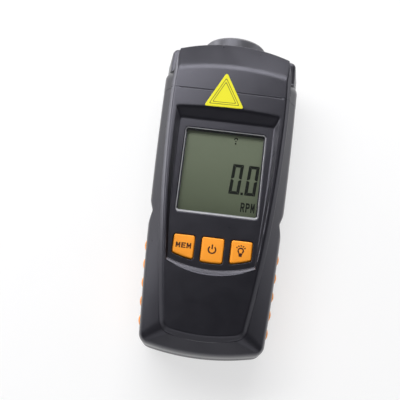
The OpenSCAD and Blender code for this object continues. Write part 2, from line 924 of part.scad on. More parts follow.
module case_screws() color("#9a9ca0")
    screw_places([low_screw, mid_screw, head_screw]) difference() {
        union() {
            translate([0, 0, screw_seat_z - screw_head_t]) cylinder(h = screw_head_t, r = screw_head_r);
            translate([0, 0, screw_seat_z - 0.5])
                cylinder(h = split_z + screw_bite - screw_seat_z + 0.5, r = screw_r - 0.02);
        }
        for (turn = [0, 90])
            translate([0, 0, screw_seat_z - screw_head_t]) rotate([0, 0, turn])
                cube([drive_l, drive_w, drive_t], center = true);
    }

module board_screws() color("#9a9ca0")
    screw_places([high_board_screw, low_board_screw]) difference() {
        union() {
            translate([0, 0, board_z - board_screw_head_t])
                cylinder(h = board_screw_head_t, r = board_screw_head_r);
            translate([0, 0, board_z - 0.3])
                cylinder(h = board_t + board_screw_bite + 0.3, r = board_screw_r - 0.02);
        }
        for (turn = [0, 90])
            translate([0, 0, board_z - board_screw_head_t]) rotate([0, 0, turn])
                cube([drive_l, drive_w, board_screw_head_t] * drive_scale, center = true);
    }

front_shell();
rear_shell();
head_cap();
nose_collar();
nose_glass();
display_window();
display_trim();
lcd_glass();
lcd_holder();
backlight_panel();
zebra_strips();
main_board();
board_components();
key_switches();
button_memory();
button_power();
button_light();
optics_bracket();
laser_module();
laser_lens();
receiving_lens();
photodiode();
sensor_board();
sensor_leads();
battery();
battery_snap();
battery_leads();
battery_door();
side_grip_left();
side_grip_right();
case_screws();
board_screws();
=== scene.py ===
# %% [markdown]
# # A handheld laser tachometer
# A pocket instrument that reads the speed of a turning shaft from a patch of reflecting tape.
# Its dark moulded housing has a raised front panel with a dished display well, three orange keys,
# a head with an arched crease and a round nose for the beam, and ribbed grips on its flanks.
# Each cell below builds one piece or one finish around the solid model, which is the fixed frame.

# %% Load the frame
import math

import bmesh
import bpy
import numpy as np
from mathutils import Matrix, Vector
from mathutils.geometry import delaunay_2d_cdt
from mathutils.kdtree import KDTree


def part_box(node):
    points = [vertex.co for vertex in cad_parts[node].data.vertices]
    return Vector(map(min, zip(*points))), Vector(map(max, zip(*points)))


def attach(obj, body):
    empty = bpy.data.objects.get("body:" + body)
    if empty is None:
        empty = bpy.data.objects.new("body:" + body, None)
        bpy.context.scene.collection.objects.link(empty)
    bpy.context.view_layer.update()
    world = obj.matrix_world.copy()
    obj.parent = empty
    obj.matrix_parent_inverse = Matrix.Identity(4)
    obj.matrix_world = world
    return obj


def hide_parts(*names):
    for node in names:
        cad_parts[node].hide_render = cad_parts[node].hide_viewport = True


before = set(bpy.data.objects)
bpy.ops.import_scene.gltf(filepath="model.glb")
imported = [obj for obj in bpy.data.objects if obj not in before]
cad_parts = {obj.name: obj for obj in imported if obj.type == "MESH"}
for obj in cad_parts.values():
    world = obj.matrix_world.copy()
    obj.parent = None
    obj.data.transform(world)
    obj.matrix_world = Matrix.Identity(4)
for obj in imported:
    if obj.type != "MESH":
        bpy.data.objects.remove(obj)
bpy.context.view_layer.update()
MM = 0.001


def add_object(name, data):
    made = bpy.data.objects.new(name, data)
    bpy.context.scene.collection.objects.link(made)
    return made


# %% [markdown]
# ## Camera
# The instrument is seen from above its foot, fifteen degrees off square to the display, with its
# head leaning a little to the right. The lens is a short telephoto. The axis of the lens passes a
# little beside the middle of the frame, and the camera's shift does that without turning it.

# %% Camera
VIEW_TARGET = Vector((0, -6.7, 37)) * MM
VIEW_TILT = math.radians(15)
VIEW_ROLL = math.radians(6.73)
VIEW_DISTANCE = 359.6 * MM
FRAME_PIXELS, LENS_PIXELS, SHIFT_PIXELS = 400, 808, (-18.1, -0.2)
SENSOR_MM = 36

camera_data = bpy.data.cameras.new("view_camera")
camera_data.sensor_width = SENSOR_MM
camera_data.lens = LENS_PIXELS / FRAME_PIXELS * SENSOR_MM
camera_data.shift_x, camera_data.shift_y = (v / FRAME_PIXELS for v in SHIFT_PIXELS)
camera_data.clip_start, camera_data.clip_end = 0.01, 20
camera = add_object("view_camera", camera_data)

back = Vector((0, -math.sin(VIEW_TILT), math.cos(VIEW_TILT)))
up_straight = Vector((0, math.cos(VIEW_TILT), math.sin(VIEW_TILT)))
right = Vector((1, 0, 0)) * math.cos(VIEW_ROLL) + up_straight * math.sin(VIEW_ROLL)
up = back.cross(right)
turn = Matrix((right, up, back)).transposed().to_4x4()
camera.matrix_world = Matrix.Translation(VIEW_TARGET + back * VIEW_DISTANCE) @ turn
bpy.context.scene.camera = camera
print("camera at, mm:", [round(v / MM, 1) for v in camera.matrix_world.translation])

# %% [markdown]
# ## A node group for the finishes
# Moulded plastic has a fine spark-eroded grain and a slow drift of tone and gloss, and handled
# surfaces gather a faint film. Each material could have its own nodes for that, but one node group
# with named sockets keeps them alike, and every material uses it with its own values.


# %% Helpers for shader nodes
def new_group(name, inputs, outputs):
    group = bpy.data.node_groups.new(name, "ShaderNodeTree")
    for title, kind, value in inputs:
        socket = group.interface.new_socket(title, in_out="INPUT", socket_type=kind)
        socket.default_value = value
    for title, kind in outputs:
        group.interface.new_socket(title, in_out="OUTPUT", socket_type=kind)
    enter = group.nodes.new("NodeGroupInput")
    leave = group.nodes.new("NodeGroupOutput")
    return group, enter, leave


def set_inputs(node, values):
    for title, value in values.items():
        node.inputs[title].default_value = value


def feed(tree, socket, value):
    """Gives a socket a constant, or links another socket to it."""
    if isinstance(value, (int, float, tuple)):
        socket.default_value = value
    else:
        tree.links.new(value, socket)


def math_node(tree, operation, a, b, clamp=False):
    node = tree.nodes.new("ShaderNodeMath")
    node.operation = operation
    node.use_clamp = clamp
    feed(tree, node.inputs[0], a)
    feed(tree, node.inputs[1], b)
    return node.outputs[0]


def noise_node(tree, vector, scale, detail, roughness):
    node = tree.nodes.new("ShaderNodeTexNoise")
    set_inputs(node, {"Detail": detail, "Roughness": roughness})
    feed(tree, node.inputs["Vector"], vector)
    feed(tree, node.inputs["Scale"], scale)
    return node.outputs["Fac"]


def mix_colours(tree, factor, a, b, blend="MIX"):
    node = tree.nodes.new("ShaderNodeMix")
    node.data_type = "RGBA"
    node.blend_type = blend
    for place, value in ((0, factor), (6, a), (7, b)):
        feed(tree, node.inputs[place], value)
    return node.outputs[2]


def place_axes(tree, kind):
    """The X, Y and Z of a texture coordinate."""
    split = tree.nodes.new("ShaderNodeSeparateXYZ")
    tree.links.new(tree.nodes.new("ShaderNodeTexCoord").outputs[kind], split.inputs[0])
    return split.outputs


def span_node(tree, value, low, high):
    """0 where the value is low, 1 where it is high, and even in between."""
    node = tree.nodes.new("ShaderNodeMapRange")
    set_inputs(node, {"From Min": low, "From Max": high})
    tree.links.new(value, node.inputs["Value"])
    return node.outputs[0]


print("shader helpers ready")

# %% Moulded grain
DRIFT_SCALE, FILM_SCALE = 55.0, 140.0


def build_moulded_grain():
    group, enter, leave = new_group(
        "moulded_grain",
        [
            ("Color", "NodeSocketColor", (0.1, 0.1, 0.1, 1)),
            ("Grain Scale", "NodeSocketFloat", 900.0),
            ("Tone Drift", "NodeSocketFloat", 0.12),
            ("Roughness", "NodeSocketFloat", 0.45),
            ("Gloss Drift", "NodeSocketFloat", 0.12),
        ],
        [("Color", "NodeSocketColor"), ("Roughness", "NodeSocketFloat"), ("Height", "NodeSocketFloat")],
    )
    place = group.nodes.new("ShaderNodeTexCoord").outputs["Object"]
    grain = noise_node(group, place, enter.outputs["Grain Scale"], 2.0, 0.6)
    drift = noise_node(group, place, DRIFT_SCALE, 3.0, 0.5)
    drift_signed = math_node(group, "SUBTRACT", drift, 0.5)
    grain_signed = math_node(group, "SUBTRACT", grain, 0.5)
    tone = math_node(group, "ADD", math_node(group, "MULTIPLY", drift_signed, 2.0), grain_signed)
    gain = math_node(group, "ADD", math_node(group, "MULTIPLY", tone, enter.outputs["Tone Drift"]), 1.0)
    grey = group.nodes.new("ShaderNodeCombineColor")
    for socket in grey.inputs:
        group.links.new(gain, socket)
    varied = mix_colours(group, 1.0, enter.outputs["Color"], grey.outputs[0], "MULTIPLY")
    film = noise_node(group, place, FILM_SCALE, 4.0, 0.6)
    film_signed = math_node(group, "SUBTRACT", film, 0.5)
    gloss = math_node(group, "MULTIPLY", film_signed, enter.outputs["Gloss Drift"])
    rough = math_node(group, "ADD", gloss, enter.outputs["Roughness"], clamp=True)
    group.links.new(varied, leave.inputs["Color"])
    group.links.new(rough, leave.inputs["Roughness"])
    group.links.new(grain, leave.inputs["Height"])
    return group


MOULDED_GRAIN = build_moulded_grain()
print("node group:", MOULDED_GRAIN.name)


# %% A material from the grain group
def moulded_material(name, colour, roughness, grain_scale=900.0, bump_mm=0.012, tone=0.12, gloss=0.12,
                     metallic=0.0, specular=0.5, coat=0.0, tint=(1, 1, 1), colour_from=None):
    """A plastic, rubber or metal finish: the grain group feeds a Principled BSDF."""
    material = bpy.data.materials.new(name)
    material.use_nodes = True
    tree = material.node_tree
    shader = tree.nodes["Principled BSDF"]
    grain = tree.nodes.new("ShaderNodeGroup")
    grain.node_tree = MOULDED_GRAIN
    set_inputs(grain, {
        "Color": (*colour, 1), "Grain Scale": grain_scale, "Tone Drift": tone,
        "Roughness": roughness, "Gloss Drift": gloss,
    })
    if colour_from is not None:
        tree.links.new(colour_from(tree), grain.inputs["Color"])
    bump = tree.nodes.new("ShaderNodeBump")
    set_inputs(bump, {"Strength": 1.0, "Distance": bump_mm * MM})
    tree.links.new(grain.outputs["Color"], shader.inputs["Base Color"])
    tree.links.new(grain.outputs["Roughness"], shader.inputs["Roughness"])
    tree.links.new(grain.outputs["Height"], bump.inputs["Height"])
    tree.links.new(bump.outputs["Normal"], shader.inputs["Normal"])
    set_inputs(shader, {
        "Metallic": metallic, "Specular IOR Level": specular, "Coat Weight": coat,
        "Specular Tint": (*tint, 1),
    })
    material.diffuse_color = (*colour, 1)
    return material


COOL_SHEEN = (0.87, 0.86, 1.0)
HOUSING = moulded_material(
    "housing_charcoal", (0.0060, 0.0058, 0.0076), 0.30, 1100, 0.008, specular=0.66, tint=COOL_SHEEN
)
HOUSING_BACK = moulded_material(
    "housing_back_charcoal", (0.0125, 0.0122, 0.0148), 0.42, 1000, 0.014, tint=COOL_SHEEN
)
# The nose collar's grey is partly its own lighter plastic and partly painted light: it is lightened to
# stand in for the strong light from above that falls on the collar.
NOSE_PLASTIC_PAINTED_LIGHT = moulded_material(
    "nose_grey_with_painted_light", (0.085, 0.085, 0.092), 0.36, 1300, 0.006, tint=COOL_SHEEN
)
INNER_PLASTIC = moulded_material("inner_black", (0.011, 0.011, 0.012), 0.55, 900, 0.010)
KEY_RUBBER = moulded_material(
    "key_orange_silicone", (0.90, 0.315, 0.016), 0.50, 1500, 0.004, 0.05, 0.08, specular=0.3
)
GRIP_RUBBER = moulded_material(
    "grip_orange_rubber", (0.88, 0.30, 0.020), 0.55, 1200, 0.010, 0.08, 0.1, specular=0.3
)
KEY_PRINT = moulded_material(
    "key_print_brown", (0.050, 0.010, 0.004), 0.6, 1800, 0.002, 0.1, specular=0.2
)
SEGMENT_INK = moulded_material(
    "display_segment", (0.0012, 0.0020, 0.0015), 0.6, 2000, 0.001, 0.1, specular=0.02
)
TRIM_SILVER = moulded_material(
    "trim_silver", (0.44, 0.44, 0.46), 0.34, 1800, 0.002, 0.06, 0.1, metallic=0.6
)
PLATE_YELLOW = moulded_material(
    "plate_yellow", (0.77, 0.72, 0.013), 0.52, 1600, 0.002, 0.04, 0.1, specular=0.25
)
PLATE_LINE = moulded_material(
    "plate_line", (0.20, 0.185, 0.01), 0.5, 1600, 0.002, 0.1, specular=0.25
)
print("housing, key and trim finishes made")

# %% [markdown]
# ## Finishes of the display and of the parts inside
# The display is a grey-green reflecting panel, and a ramp along it paints shade: lighter towards
# the head, darker towards its lower edge. The window over it is thin clear plastic. Boards, battery and
# optics sit inside and show through the nose and the battery bay, so each has its own finish.


# %% Display and inner finishes
def painted_shade_ramp(low_y, high_y, low_colour, high_colour):
    """Painted shade: a colour that changes along the body, for moulded_material's colour_from."""

    def build(tree):
        share = span_node(tree, place_axes(tree, "Object")["Y"], low_y * MM, high_y * MM)
        return mix_colours(tree, share, (*low_colour, 1), (*high_colour, 1))

    return build


def clear_material(name, tint, alpha, roughness):
    """Thin clear plastic or coated glass, seen through by its alpha."""
    material = moulded_material(name, tint, roughness, 300, 0.0006, 0.05, 0.03, coat=1.0)
    shader = material.node_tree.nodes["Principled BSDF"]
    set_inputs(shader, {"Alpha": alpha, "Coat Roughness": 0.05})
    return material


# The display's colour ramp is painted shade, darker towards its lower edge and lighter towards the head.
LCD_FACE = moulded_material(
    "display_grey_green", (0.15, 0.18, 0.12), 0.45, 2200, 0.001, 0.05, 0.05, specular=0.25,
    colour_from=painted_shade_ramp(-14, 27, (0.056, 0.072, 0.036), (0.158, 0.188, 0.120)),
)
WINDOW_CLEAR = clear_material("window_clear", (0.20, 0.22, 0.19), 0.04, 0.08)
NOSE_FILTER = clear_material("nose_red_filter", (0.10, 0.006, 0.012), 0.62, 0.06)
OPTIC_GLASS = clear_material("optic_glass", (0.55, 0.66, 0.72), 0.35, 0.04)
BOARD_GREEN = moulded_material("board_green", (0.018, 0.115, 0.040), 0.34, 700, 0.006, 0.25)
CHIP_BLACK = moulded_material("component_black", (0.014, 0.014, 0.015), 0.5, 1400, 0.008)
SWITCH_GREY = moulded_material("switch_grey", (0.42, 0.43, 0.44), 0.45, 1200, 0.006)
LIGHT_GUIDE = moulded_material("light_guide_milk", (0.74, 0.77, 0.66), 0.4, 600, 0.002, 0.05)
CONTACT_RUBBER = moulded_material("contact_rubber", (0.035, 0.035, 0.035), 0.65, 2500, 0.02, 0.3)
LASER_BRASS = moulded_material("laser_brass", (0.56, 0.38, 0.15), 0.28, 900, 0.004, 0.1, metallic=1.0)
CAN_STEEL = moulded_material("can_steel", (0.55, 0.56, 0.58), 0.3, 900, 0.003, 0.1, metallic=1.0)
SCREW_STEEL = moulded_material("screw_zinc", (0.48, 0.49, 0.51), 0.34, 1200, 0.006, 0.15, metallic=1.0)
WIRE_RED = moulded_material("wire_red", (0.42, 0.03, 0.024), 0.42, 1500, 0.004)
BATTERY_JACKET = moulded_material("battery_jacket", (0.05, 0.052, 0.06), 0.32, 400, 0.004, 0.15)
print("display and inner finishes made")

# %% Finishes on the solid model's own nodes
NODE_FINISH = {
    "front_shell": HOUSING, "head_cap": HOUSING, "rear_shell": HOUSING_BACK,
    "battery_door": HOUSING_BACK, "nose_collar": NOSE_PLASTIC_PAINTED_LIGHT, "nose_glass": NOSE_FILTER,
    "display_window": WINDOW_CLEAR, "display_trim": TRIM_SILVER, "lcd_glass": LCD_FACE,
    "lcd_holder": INNER_PLASTIC, "backlight_panel": LIGHT_GUIDE, "zebra_strips": CONTACT_RUBBER,
    "main_board": BOARD_GREEN, "board_components": CHIP_BLACK, "key_switches": SWITCH_GREY,
    "button_memory": KEY_RUBBER, "button_power": KEY_RUBBER, "button_light": KEY_RUBBER,
    "optics_bracket": INNER_PLASTIC, "laser_module": LASER_BRASS, "laser_lens": OPTIC_GLASS,
    "receiving_lens": OPTIC_GLASS, "photodiode": CAN_STEEL, "sensor_board": BOARD_GREEN,
    "sensor_leads": WIRE_RED, "battery": BATTERY_JACKET, "battery_snap": CHIP_BLACK,
    "battery_leads": WIRE_RED, "side_grip_left": GRIP_RUBBER, "side_grip_right": GRIP_RUBBER,
    "case_screws": SCREW_STEEL, "board_screws": SCREW_STEEL,
}
for node, finish in NODE_FINISH.items():
    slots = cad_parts[node].data.materials
    slots.clear()
    slots.append(finish)
print("nodes given a finish:", len(NODE_FINISH))

# %% [markdown]
# ## Outlines and a skin builder
# The moulded shells are smooth forms with crisp, softly rounded edges. A boolean of solids gives
# uneven triangles there, so each shell is a skin of matched rows: an outline is sampled at fixed
# stations, offset inwards step by step, and lifted to the height that the form has at that place.
# Flat parts between the rows are filled by a constrained triangulation.

# %% Smooth blends and outlines
OUTLINE_HALVINGS, WELL_HALVINGS = 60, 26


def soft_min(a, b, k):
    blend = np.maximum(k - np.abs(a - b), 0) / k
    return np.minimum(a, b) - blend * blend * k / 4


def soft_max(a, b, k):
    return -soft_min(-a, -b, k)


def unit(v):
    return v / np.linalg.norm(v, axis=-1, keepdims=True)


def side_normals(half, y):
    step = 1e-3
    slope = (half(y + step) - half(y - step)) / (2 * step)
    return unit(np.stack([np.ones_like(y), -slope], -1))


def u_outline(half, end_y, bow_r, corner, top_y, counts):
    """Right side from top_y down, rounded corner, bowed end, then the mirror image: points, normals."""
    def corner_centre(y):
        y = np.atleast_1d(y)
        return (np.stack([half(y), y], -1) - corner * side_normals(half, y))[0]

    bow_centre = np.array([0, end_y + bow_r])
    low, high = end_y + 0.05, end_y + 0.6 * (top_y - end_y)
    for _ in range(OUTLINE_HALVINGS):
        middle = (low + high) / 2
        reach = np.linalg.norm(corner_centre(middle) - bow_centre)
        low, high = (middle, high) if reach > bow_r - corner else (low, middle)
    centre = corner_centre(high)
    n_side, n_corner, n_bow = counts
    side_y = top_y + (high - top_y) * np.linspace(0, 1, n_side)
    points = [np.stack([half(side_y), side_y], -1)]
    normals = [side_normals(half, side_y)]
    start = np.arctan2(*side_normals(half, np.array([high]))[0][::-1])
    stop = np.arctan2(*(centre - bow_centre)[::-1])
    arc = np.linspace(start, stop, n_corner + 1)[1:]
    normals.append(np.stack([np.cos(arc), np.sin(arc)], -1))
    points.append(centre + corner * normals[-1])
    bow = np.linspace(stop, -np.pi / 2, n_bow + 1)[1:]
    normals.append(np.stack([np.cos(bow), np.sin(bow)], -1))
    points.append(bow_centre + bow_r * normals[-1])
    p, n = np.concatenate(points), np.concatenate(normals)
    flip = np.array([-1, 1])
    return np.concatenate([p, p[-2::-1] * flip]), np.concatenate([n, n[-2::-1] * flip])


def inside(poly, pts):
    """Which points lie inside a closed polygon."""
    x, y = pts[:, 0][:, None], pts[:, 1][:, None]
    x0, y0 = poly[:, 0][None], poly[:, 1][None]
    x1, y1 = np.roll(poly[:, 0], -1)[None], np.roll(poly[:, 1], -1)[None]
    crosses = (y0 > y) != (y1 > y)
    gap = np.where(y1 == y0, 1e-12, y1 - y0)
    return (crosses & (x < (x1 - x0) * (y - y0) / gap + x0)).sum(1) % 2 == 1


def rounded_rect(width, height, r, centre_y=0.0, arc=6):
    points = []
    for sx, sy, start in ((1, 1, 0), (-1, 1, 90), (-1, -1, 180), (1, -1, 270)):
        for a in np.radians(np.linspace(start, start + 90, arc + 1)):
            points.append([
                sx * (width / 2 - r) + r * np.cos(a), centre_y + sy * (height / 2 - r) + r * np.sin(a)
            ])
    return np.array(points)


def loop_normals(loop):
    """Outward normals of a closed counter-clockwise loop."""
    along = unit(np.roll(loop, -1, 0) - np.roll(loop, 1, 0))
    return np.stack([along[:, 1], -along[:, 0]], -1)


def grow(loop, distance):
    """A closed counter-clockwise loop moved outwards along its normals."""
    return loop + loop_normals(loop) * distance


def spaced(fixed, extra, least):
    """The extra points that keep their distance from the fixed points and from earlier extra ones."""
    tree = KDTree(len(fixed) + len(extra))
    for i, (x, y) in enumerate([*fixed, *extra]):
        tree.insert((x, y, 0), i)
    tree.balance()
    crowded = set()
    for i, (x, y) in enumerate(extra, len(fixed)):
        if any(j < i and j not in crowded for _, j, _ in tree.find_range((x, y, 0), least)):
            crowded.add(i)
    return extra[[i + len(fixed) not in crowded for i in range(len(extra))]]


def grid_points(low, high, step):
    """Evenly spaced places between two corners."""
    axes = [np.arange(a, b, step) for a, b in zip(low, high)]
    return np.stack(np.meshgrid(*axes), -1).reshape(-1, 2)


def across(xs, y):
    """Places side by side at one station."""
    return np.stack([xs, np.full(len(xs), y)], -1)


print("outline helpers ready")

# %% The skin builder
FILL_SPACING, SLIVER_AREA, SHARP_DEGREES = 0.15, 1e-5, 32


class Skin:
    """Rows of points in millimetres, joined by strips and fills into one mesh."""

    def __init__(self):
        self.points, self.faces = [], []

    def row(self, xy, z):
        start = len(self.points)
        z = np.broadcast_to(z, (len(xy),))
        self.points += [(float(p[0]), float(p[1]), float(h)) for p, h in zip(xy, z)]
        return list(range(start, len(self.points)))

    def flat(self, loop):
        return np.array([self.points[i][:2] for i in loop])

    def strip(self, a, b, closed=False):
        for i in range(len(a) if closed else len(a) - 1):
            j = (i + 1) % len(a)
            self.faces.append((a[i], a[j], b[j], b[i]))

    def rows(self, rows, closed=False):
        for a, b in zip(rows, rows[1:]):
            self.strip(a, b, closed)

    def fill(self, border, holes=(), extra=None, height=None):
        """Triangulates inside border and outside holes, with extra points at height(x, y)."""
        if height is None:
            level = self.points[border[0]][2]
            height = lambda x, y: level
        loops = [border, *holes]
        index = [i for loop in loops for i in loop]
        xy = self.flat(index)
        edges, start = [], 0
        for loop in loops:
            n = len(loop)
            edges += [(start + i, start + (i + 1) % n) for i in range(n)]
            start += n
        if extra is not None and len(extra):
            xy = np.concatenate([xy, spaced(xy, extra, FILL_SPACING)])
        out, _, tris, origin, _, _ = delaunay_2d_cdt(
            [Vector(p) for p in xy], edges, [], 0, 1e-6, True
        )
        place = []
        for point, source in zip(out, origin):
            known = [s for s in source if s < len(index)]
            if known:
                place.append(index[known[0]])
            else:
                place.append(self.row(np.array([point[:]]), height(point[0], point[1]))[0])
        flat = np.array([p[:] for p in out])
        corners = flat[np.array(tris)]
        middle = corners.mean(1)
        a, b = corners[:, 1] - corners[:, 0], corners[:, 2] - corners[:, 0]
        keep = np.abs(a[:, 0] * b[:, 1] - a[:, 1] * b[:, 0]) > SLIVER_AREA
        keep &= inside(self.flat(border), middle)
        for hole in holes:
            keep &= ~inside(self.flat(hole), middle)
        self.faces += [tuple(place[i] for i in t) for t, k in zip(tris, keep) if k]

    def stack(self, rows):
        """Closed rows on top of each other, with both ends filled."""
        self.rows(rows, closed=True)
        self.fill(rows[0])
        self.fill(rows[-1])

    def close_shell(self, outer, inner, seam_row, seam_in, holes=()):
        """Joins outer and inner rows at the parting line, fills the ceiling and closes the seam end."""
        self.rows(inner)
        self.strip(outer[0], inner[0])
        seam_in = self.row(*seam_in)
        self.fill(inner[-1] + seam_in, holes)
        ring = [r[0] for r in outer] + seam_row[::-1] + [r[-1] for r in outer][::-1]
        hollow = [r[-1] for r in inner] + seam_in + [r[0] for r in inner][::-1]
        self.faces.append(tuple(ring + hollow))

    def build(self, name, material, sharp=SHARP_DEGREES):
        mesh = bpy.data.meshes.new(name)
        shaped = bmesh.new()
        corners = [shaped.verts.new(Vector(p) * MM) for p in self.points]
        for face in self.faces:
            ring = [corners[i] for k, i in enumerate(face) if i != face[k - 1]]
            if len(set(ring)) > 2 and shaped.faces.get(ring) is None:
                shaped.faces.new(ring)
        bmesh.ops.remove_doubles(shaped, verts=shaped.verts, dist=1e-7)
        bmesh.ops.delete(shaped, geom=[v for v in shaped.verts if not v.link_faces], context="VERTS")
        bmesh.ops.recalc_face_normals(shaped, faces=shaped.faces)
        bmesh.ops.triangulate(shaped, faces=[f for f in shaped.faces if len(f.verts) > 4])
        open_edges = sum(1 for e in shaped.edges if not e.is_manifold)
        shaped.to_mesh(mesh)
        shaped.free()
        mesh.shade_smooth()
        mesh.set_sharp_from_angle(angle=math.radians(sharp))
        mesh.materials.append(material)
        print(f"{name}: {len(mesh.polygons)} faces, {open_edges} open edges")
        return add_object(name, mesh)


print("skin builder ready")

# %% [markdown]
# ## Front shell
# The front moulding carries the whole face of the instrument. From its edge inwards it has an
# upright side, a rounded shoulder, the foot and bevel of the raised panel, a faintly crowned top,
# and the well for display and keys, whose lower end is a curved step. The rows follow the body's
# outline first and the panel's outline next, and a blend between the surfaces rounds every edge.

# %% Forms of the front, in millimetres
FOOT_Y, SEAM_Y, HEAD_Y = -75.0, 44.9, 69.8
CREASE_Y, CHEEK_Y = 57.3, 56.5
SPLIT_Z, SIDE_Z, LEDGE_Z, SHOULDER_Z, SHOULDER_TOP_Z = 19.0, 27.0, 30.2, 35.8, 36.5
TOP_Z, FLOOR_Z, CEILING_Z = 37.88, 34.9, 32.7
PARTING_GAP, SEAM_CLEAR, WALL = 0.15, 0.15, 2.0
BODY_HALF, SIDE_TAPER, FOOT_BOW, CORNER = 31.4, 4.2, 110.0, 5.0
PANEL_HALF, PANEL_TAPER, PANEL_BOW, PANEL_END_Y = 25.3, 9.2, 60.0, -67.0
PANEL_DRAW, NECK_DRAW, BEVEL_H, BEVEL_FOOT, CROWN_R = 2.8, 0.5, 2.1, 2.5, 500.0
WAIST_Y, WAIST_DEPTH, WAIST_RISE, WAIST_RUN = -13.0, 1.6, 4.2, 5.6
NOTCH_ABOVE, NOTCH_BELOW, NOTCH_BLEND = 0.4, 0.5, 0.2
WELL_W, WELL_TAPER, WELL_TOP_Y, WELL_CORNER = 43.7, 2.85, 31.3, 1.0
SMILE_Y, SMILE_R, SMILE_SHRINK = -38.4, 53.3, 6
WELL_SLOPES = {"top": 5.2, "side": 2.6, "low": 2.3}
WELL_DEPTH = TOP_Z - FLOOR_Z
STEP_STEEP, STEP_EASY, STEP_KNEE, STEP_BLEND, STEP_Y, STEP_RUN = 4.0, 0.45, 0.55, 0.25, -31.0, 4.0
WINDOW_W, WINDOW_H, WINDOW_Y, WINDOW_R = 37.1, 40.1, 6.7, 1.6
KEY_TOP_Y, KEY_END_Y, KEY_ARC_R, KEY_R, KEY_TOP_Z = -23.9, -35.05, 52.0, 0.8, 36.0
KEYS = {"memory": (-12.8, 9.2), "power": (0.0, 9.7), "light": (12.8, 9.2)}
WINDOW_FIT, WINDOW_LIP, WINDOW_SEAT, KEY_GAP = 0.1, 0.9, 1.7, 0.3
PANEL_RIM, SEAM_DIP = 0.4, 0.18
SEAM_X = np.linspace(-PANEL_HALF + PANEL_RIM, PANEL_HALF - PANEL_RIM, 44)[1:-1]


def body_half(y):
    return BODY_HALF - SIDE_TAPER * (np.maximum(0, SEAM_Y - y) / (SEAM_Y - FOOT_Y)) ** 2


def panel_half(y):
    low = PANEL_TAPER * (np.maximum(0, SEAM_Y - y) / (SEAM_Y - PANEL_END_Y)) ** 2
    neck = NECK_DRAW * np.clip((y - SEAM_Y) / (CREASE_Y - SEAM_Y), 0, 1)
    head = (PANEL_DRAW - NECK_DRAW) * np.maximum(0, (y - CREASE_Y) / (HEAD_Y - CREASE_Y))
    return PANEL_HALF - low - neck - head


def crown(x):
    return TOP_Z - x * x / (2 * CROWN_R)


def notch_limit(y):
    """Half width left by the waist notch at a station."""
    rise = (y - WAIST_Y - NOTCH_ABOVE) / WAIST_RISE
    run = (WAIST_Y - NOTCH_BELOW - y) / WAIST_RUN
    slope = soft_max(soft_max(rise, run, NOTCH_BLEND), np.zeros_like(y), NOTCH_BLEND)
    return body_half(np.array(WAIST_Y)) - WAIST_DEPTH * (1 - slope)


print("front shell half width at the seam and foot:", body_half(SEAM_Y), body_half(np.array(FOOT_Y)))


# %% Display well outline
def well_ends(spread):
    """Where the well begins and ends along the body at a spread: 0 at its floor, 1 at its rim."""
    return WELL_TOP_Y + WELL_SLOPES["top"] * spread, SMILE_Y - WELL_SLOPES["low"] * spread


def well_half(y, spread):
    top_y, end_y = well_ends(spread)
    half = WELL_W / 2 + WELL_SLOPES["side"] * spread
    taper = WELL_TAPER + (WELL_SLOPES["side"] - 0.2) * spread
    return half - taper * ((top_y - y) / (top_y - end_y)) ** 2


def well_loop(spread):
    """Closed loop of the well at a spread."""
    r = WELL_CORNER
    top_y, end_y = well_ends(spread)
    points, _ = u_outline(
        lambda y: well_half(y, spread), end_y, SMILE_R - SMILE_SHRINK * spread, r, top_y - r, (60, 6, 36)
    )
    half = float(well_half(np.array(top_y), spread)) - r
    quarter = np.linspace(0, np.pi / 2, 7)
    left = [[-half - r * np.cos(a), top_y - r + r * np.sin(a)] for a in quarter[1:]]
    right_arc = [[half + r * np.sin(a), top_y - r + r * np.cos(a)] for a in quarter[:-1]]
    top = across(np.linspace(-half, half, 30)[1:-1], top_y)
    return np.concatenate([points, left, top, right_arc])[::-1]


def well_spread(x, y):
    """Spread of the well's wall at a place: below 0 over the floor, above 1 outside the rim."""
    x = np.abs(x)
    low, high = -0.6, 2.4
    for _ in range(WELL_HALVINGS):
        s = (low + high) / 2
        top_y, end_y = well_ends(s)
        r = SMILE_R - SMILE_SHRINK * s
        low_gap = r - np.hypot(x, y - (end_y + r))
        out = np.minimum(np.minimum(top_y - y, well_half(y, s) - x), low_gap) < 0
        low, high = np.where(out, s, low), np.where(out, high, s)
    return (low + high) / 2


def well_wall(y, spread):
    """Height of the well's wall. Its curved lower end is steep at the floor and easy above."""
    straight = FLOOR_Z + WELL_DEPTH * spread
    easy = soft_min(STEP_STEEP * spread, STEP_KNEE + STEP_EASY * spread, STEP_BLEND)
    low_end = np.clip((STEP_Y - y) / STEP_RUN, 0, 1)
    return straight + (np.where(spread > 0, FLOOR_Z + WELL_DEPTH * easy, straight) - straight) * low_end


print("well loop points:", len(well_loop(0.5)))

# %% Key outlines
NEARLY_STRAIGHT = 1.45


def rounded_loop(corners, r, arc=5):
    """Counter-clockwise polygon with its corners rounded."""
    corners = np.array(corners, float)
    points = []
    for before, at, after in zip(np.roll(corners, 1, 0), corners, np.roll(corners, -1, 0)):
        a, b = unit(before - at), unit(after - at)
        half = np.arccos(np.clip(a @ b, -1, 1)) / 2
        reach = r / np.tan(half)
        if half > NEARLY_STRAIGHT:
            points.append(at)
            continue
        centre = at + unit(a + b) * r / np.sin(half)
        start, stop = at + a * reach - centre, at + b * reach - centre
        for t in np.linspace(0, 1, arc + 1):
            points.append(centre + unit(start * (1 - t) + stop * t) * r)
    return np.array(points)


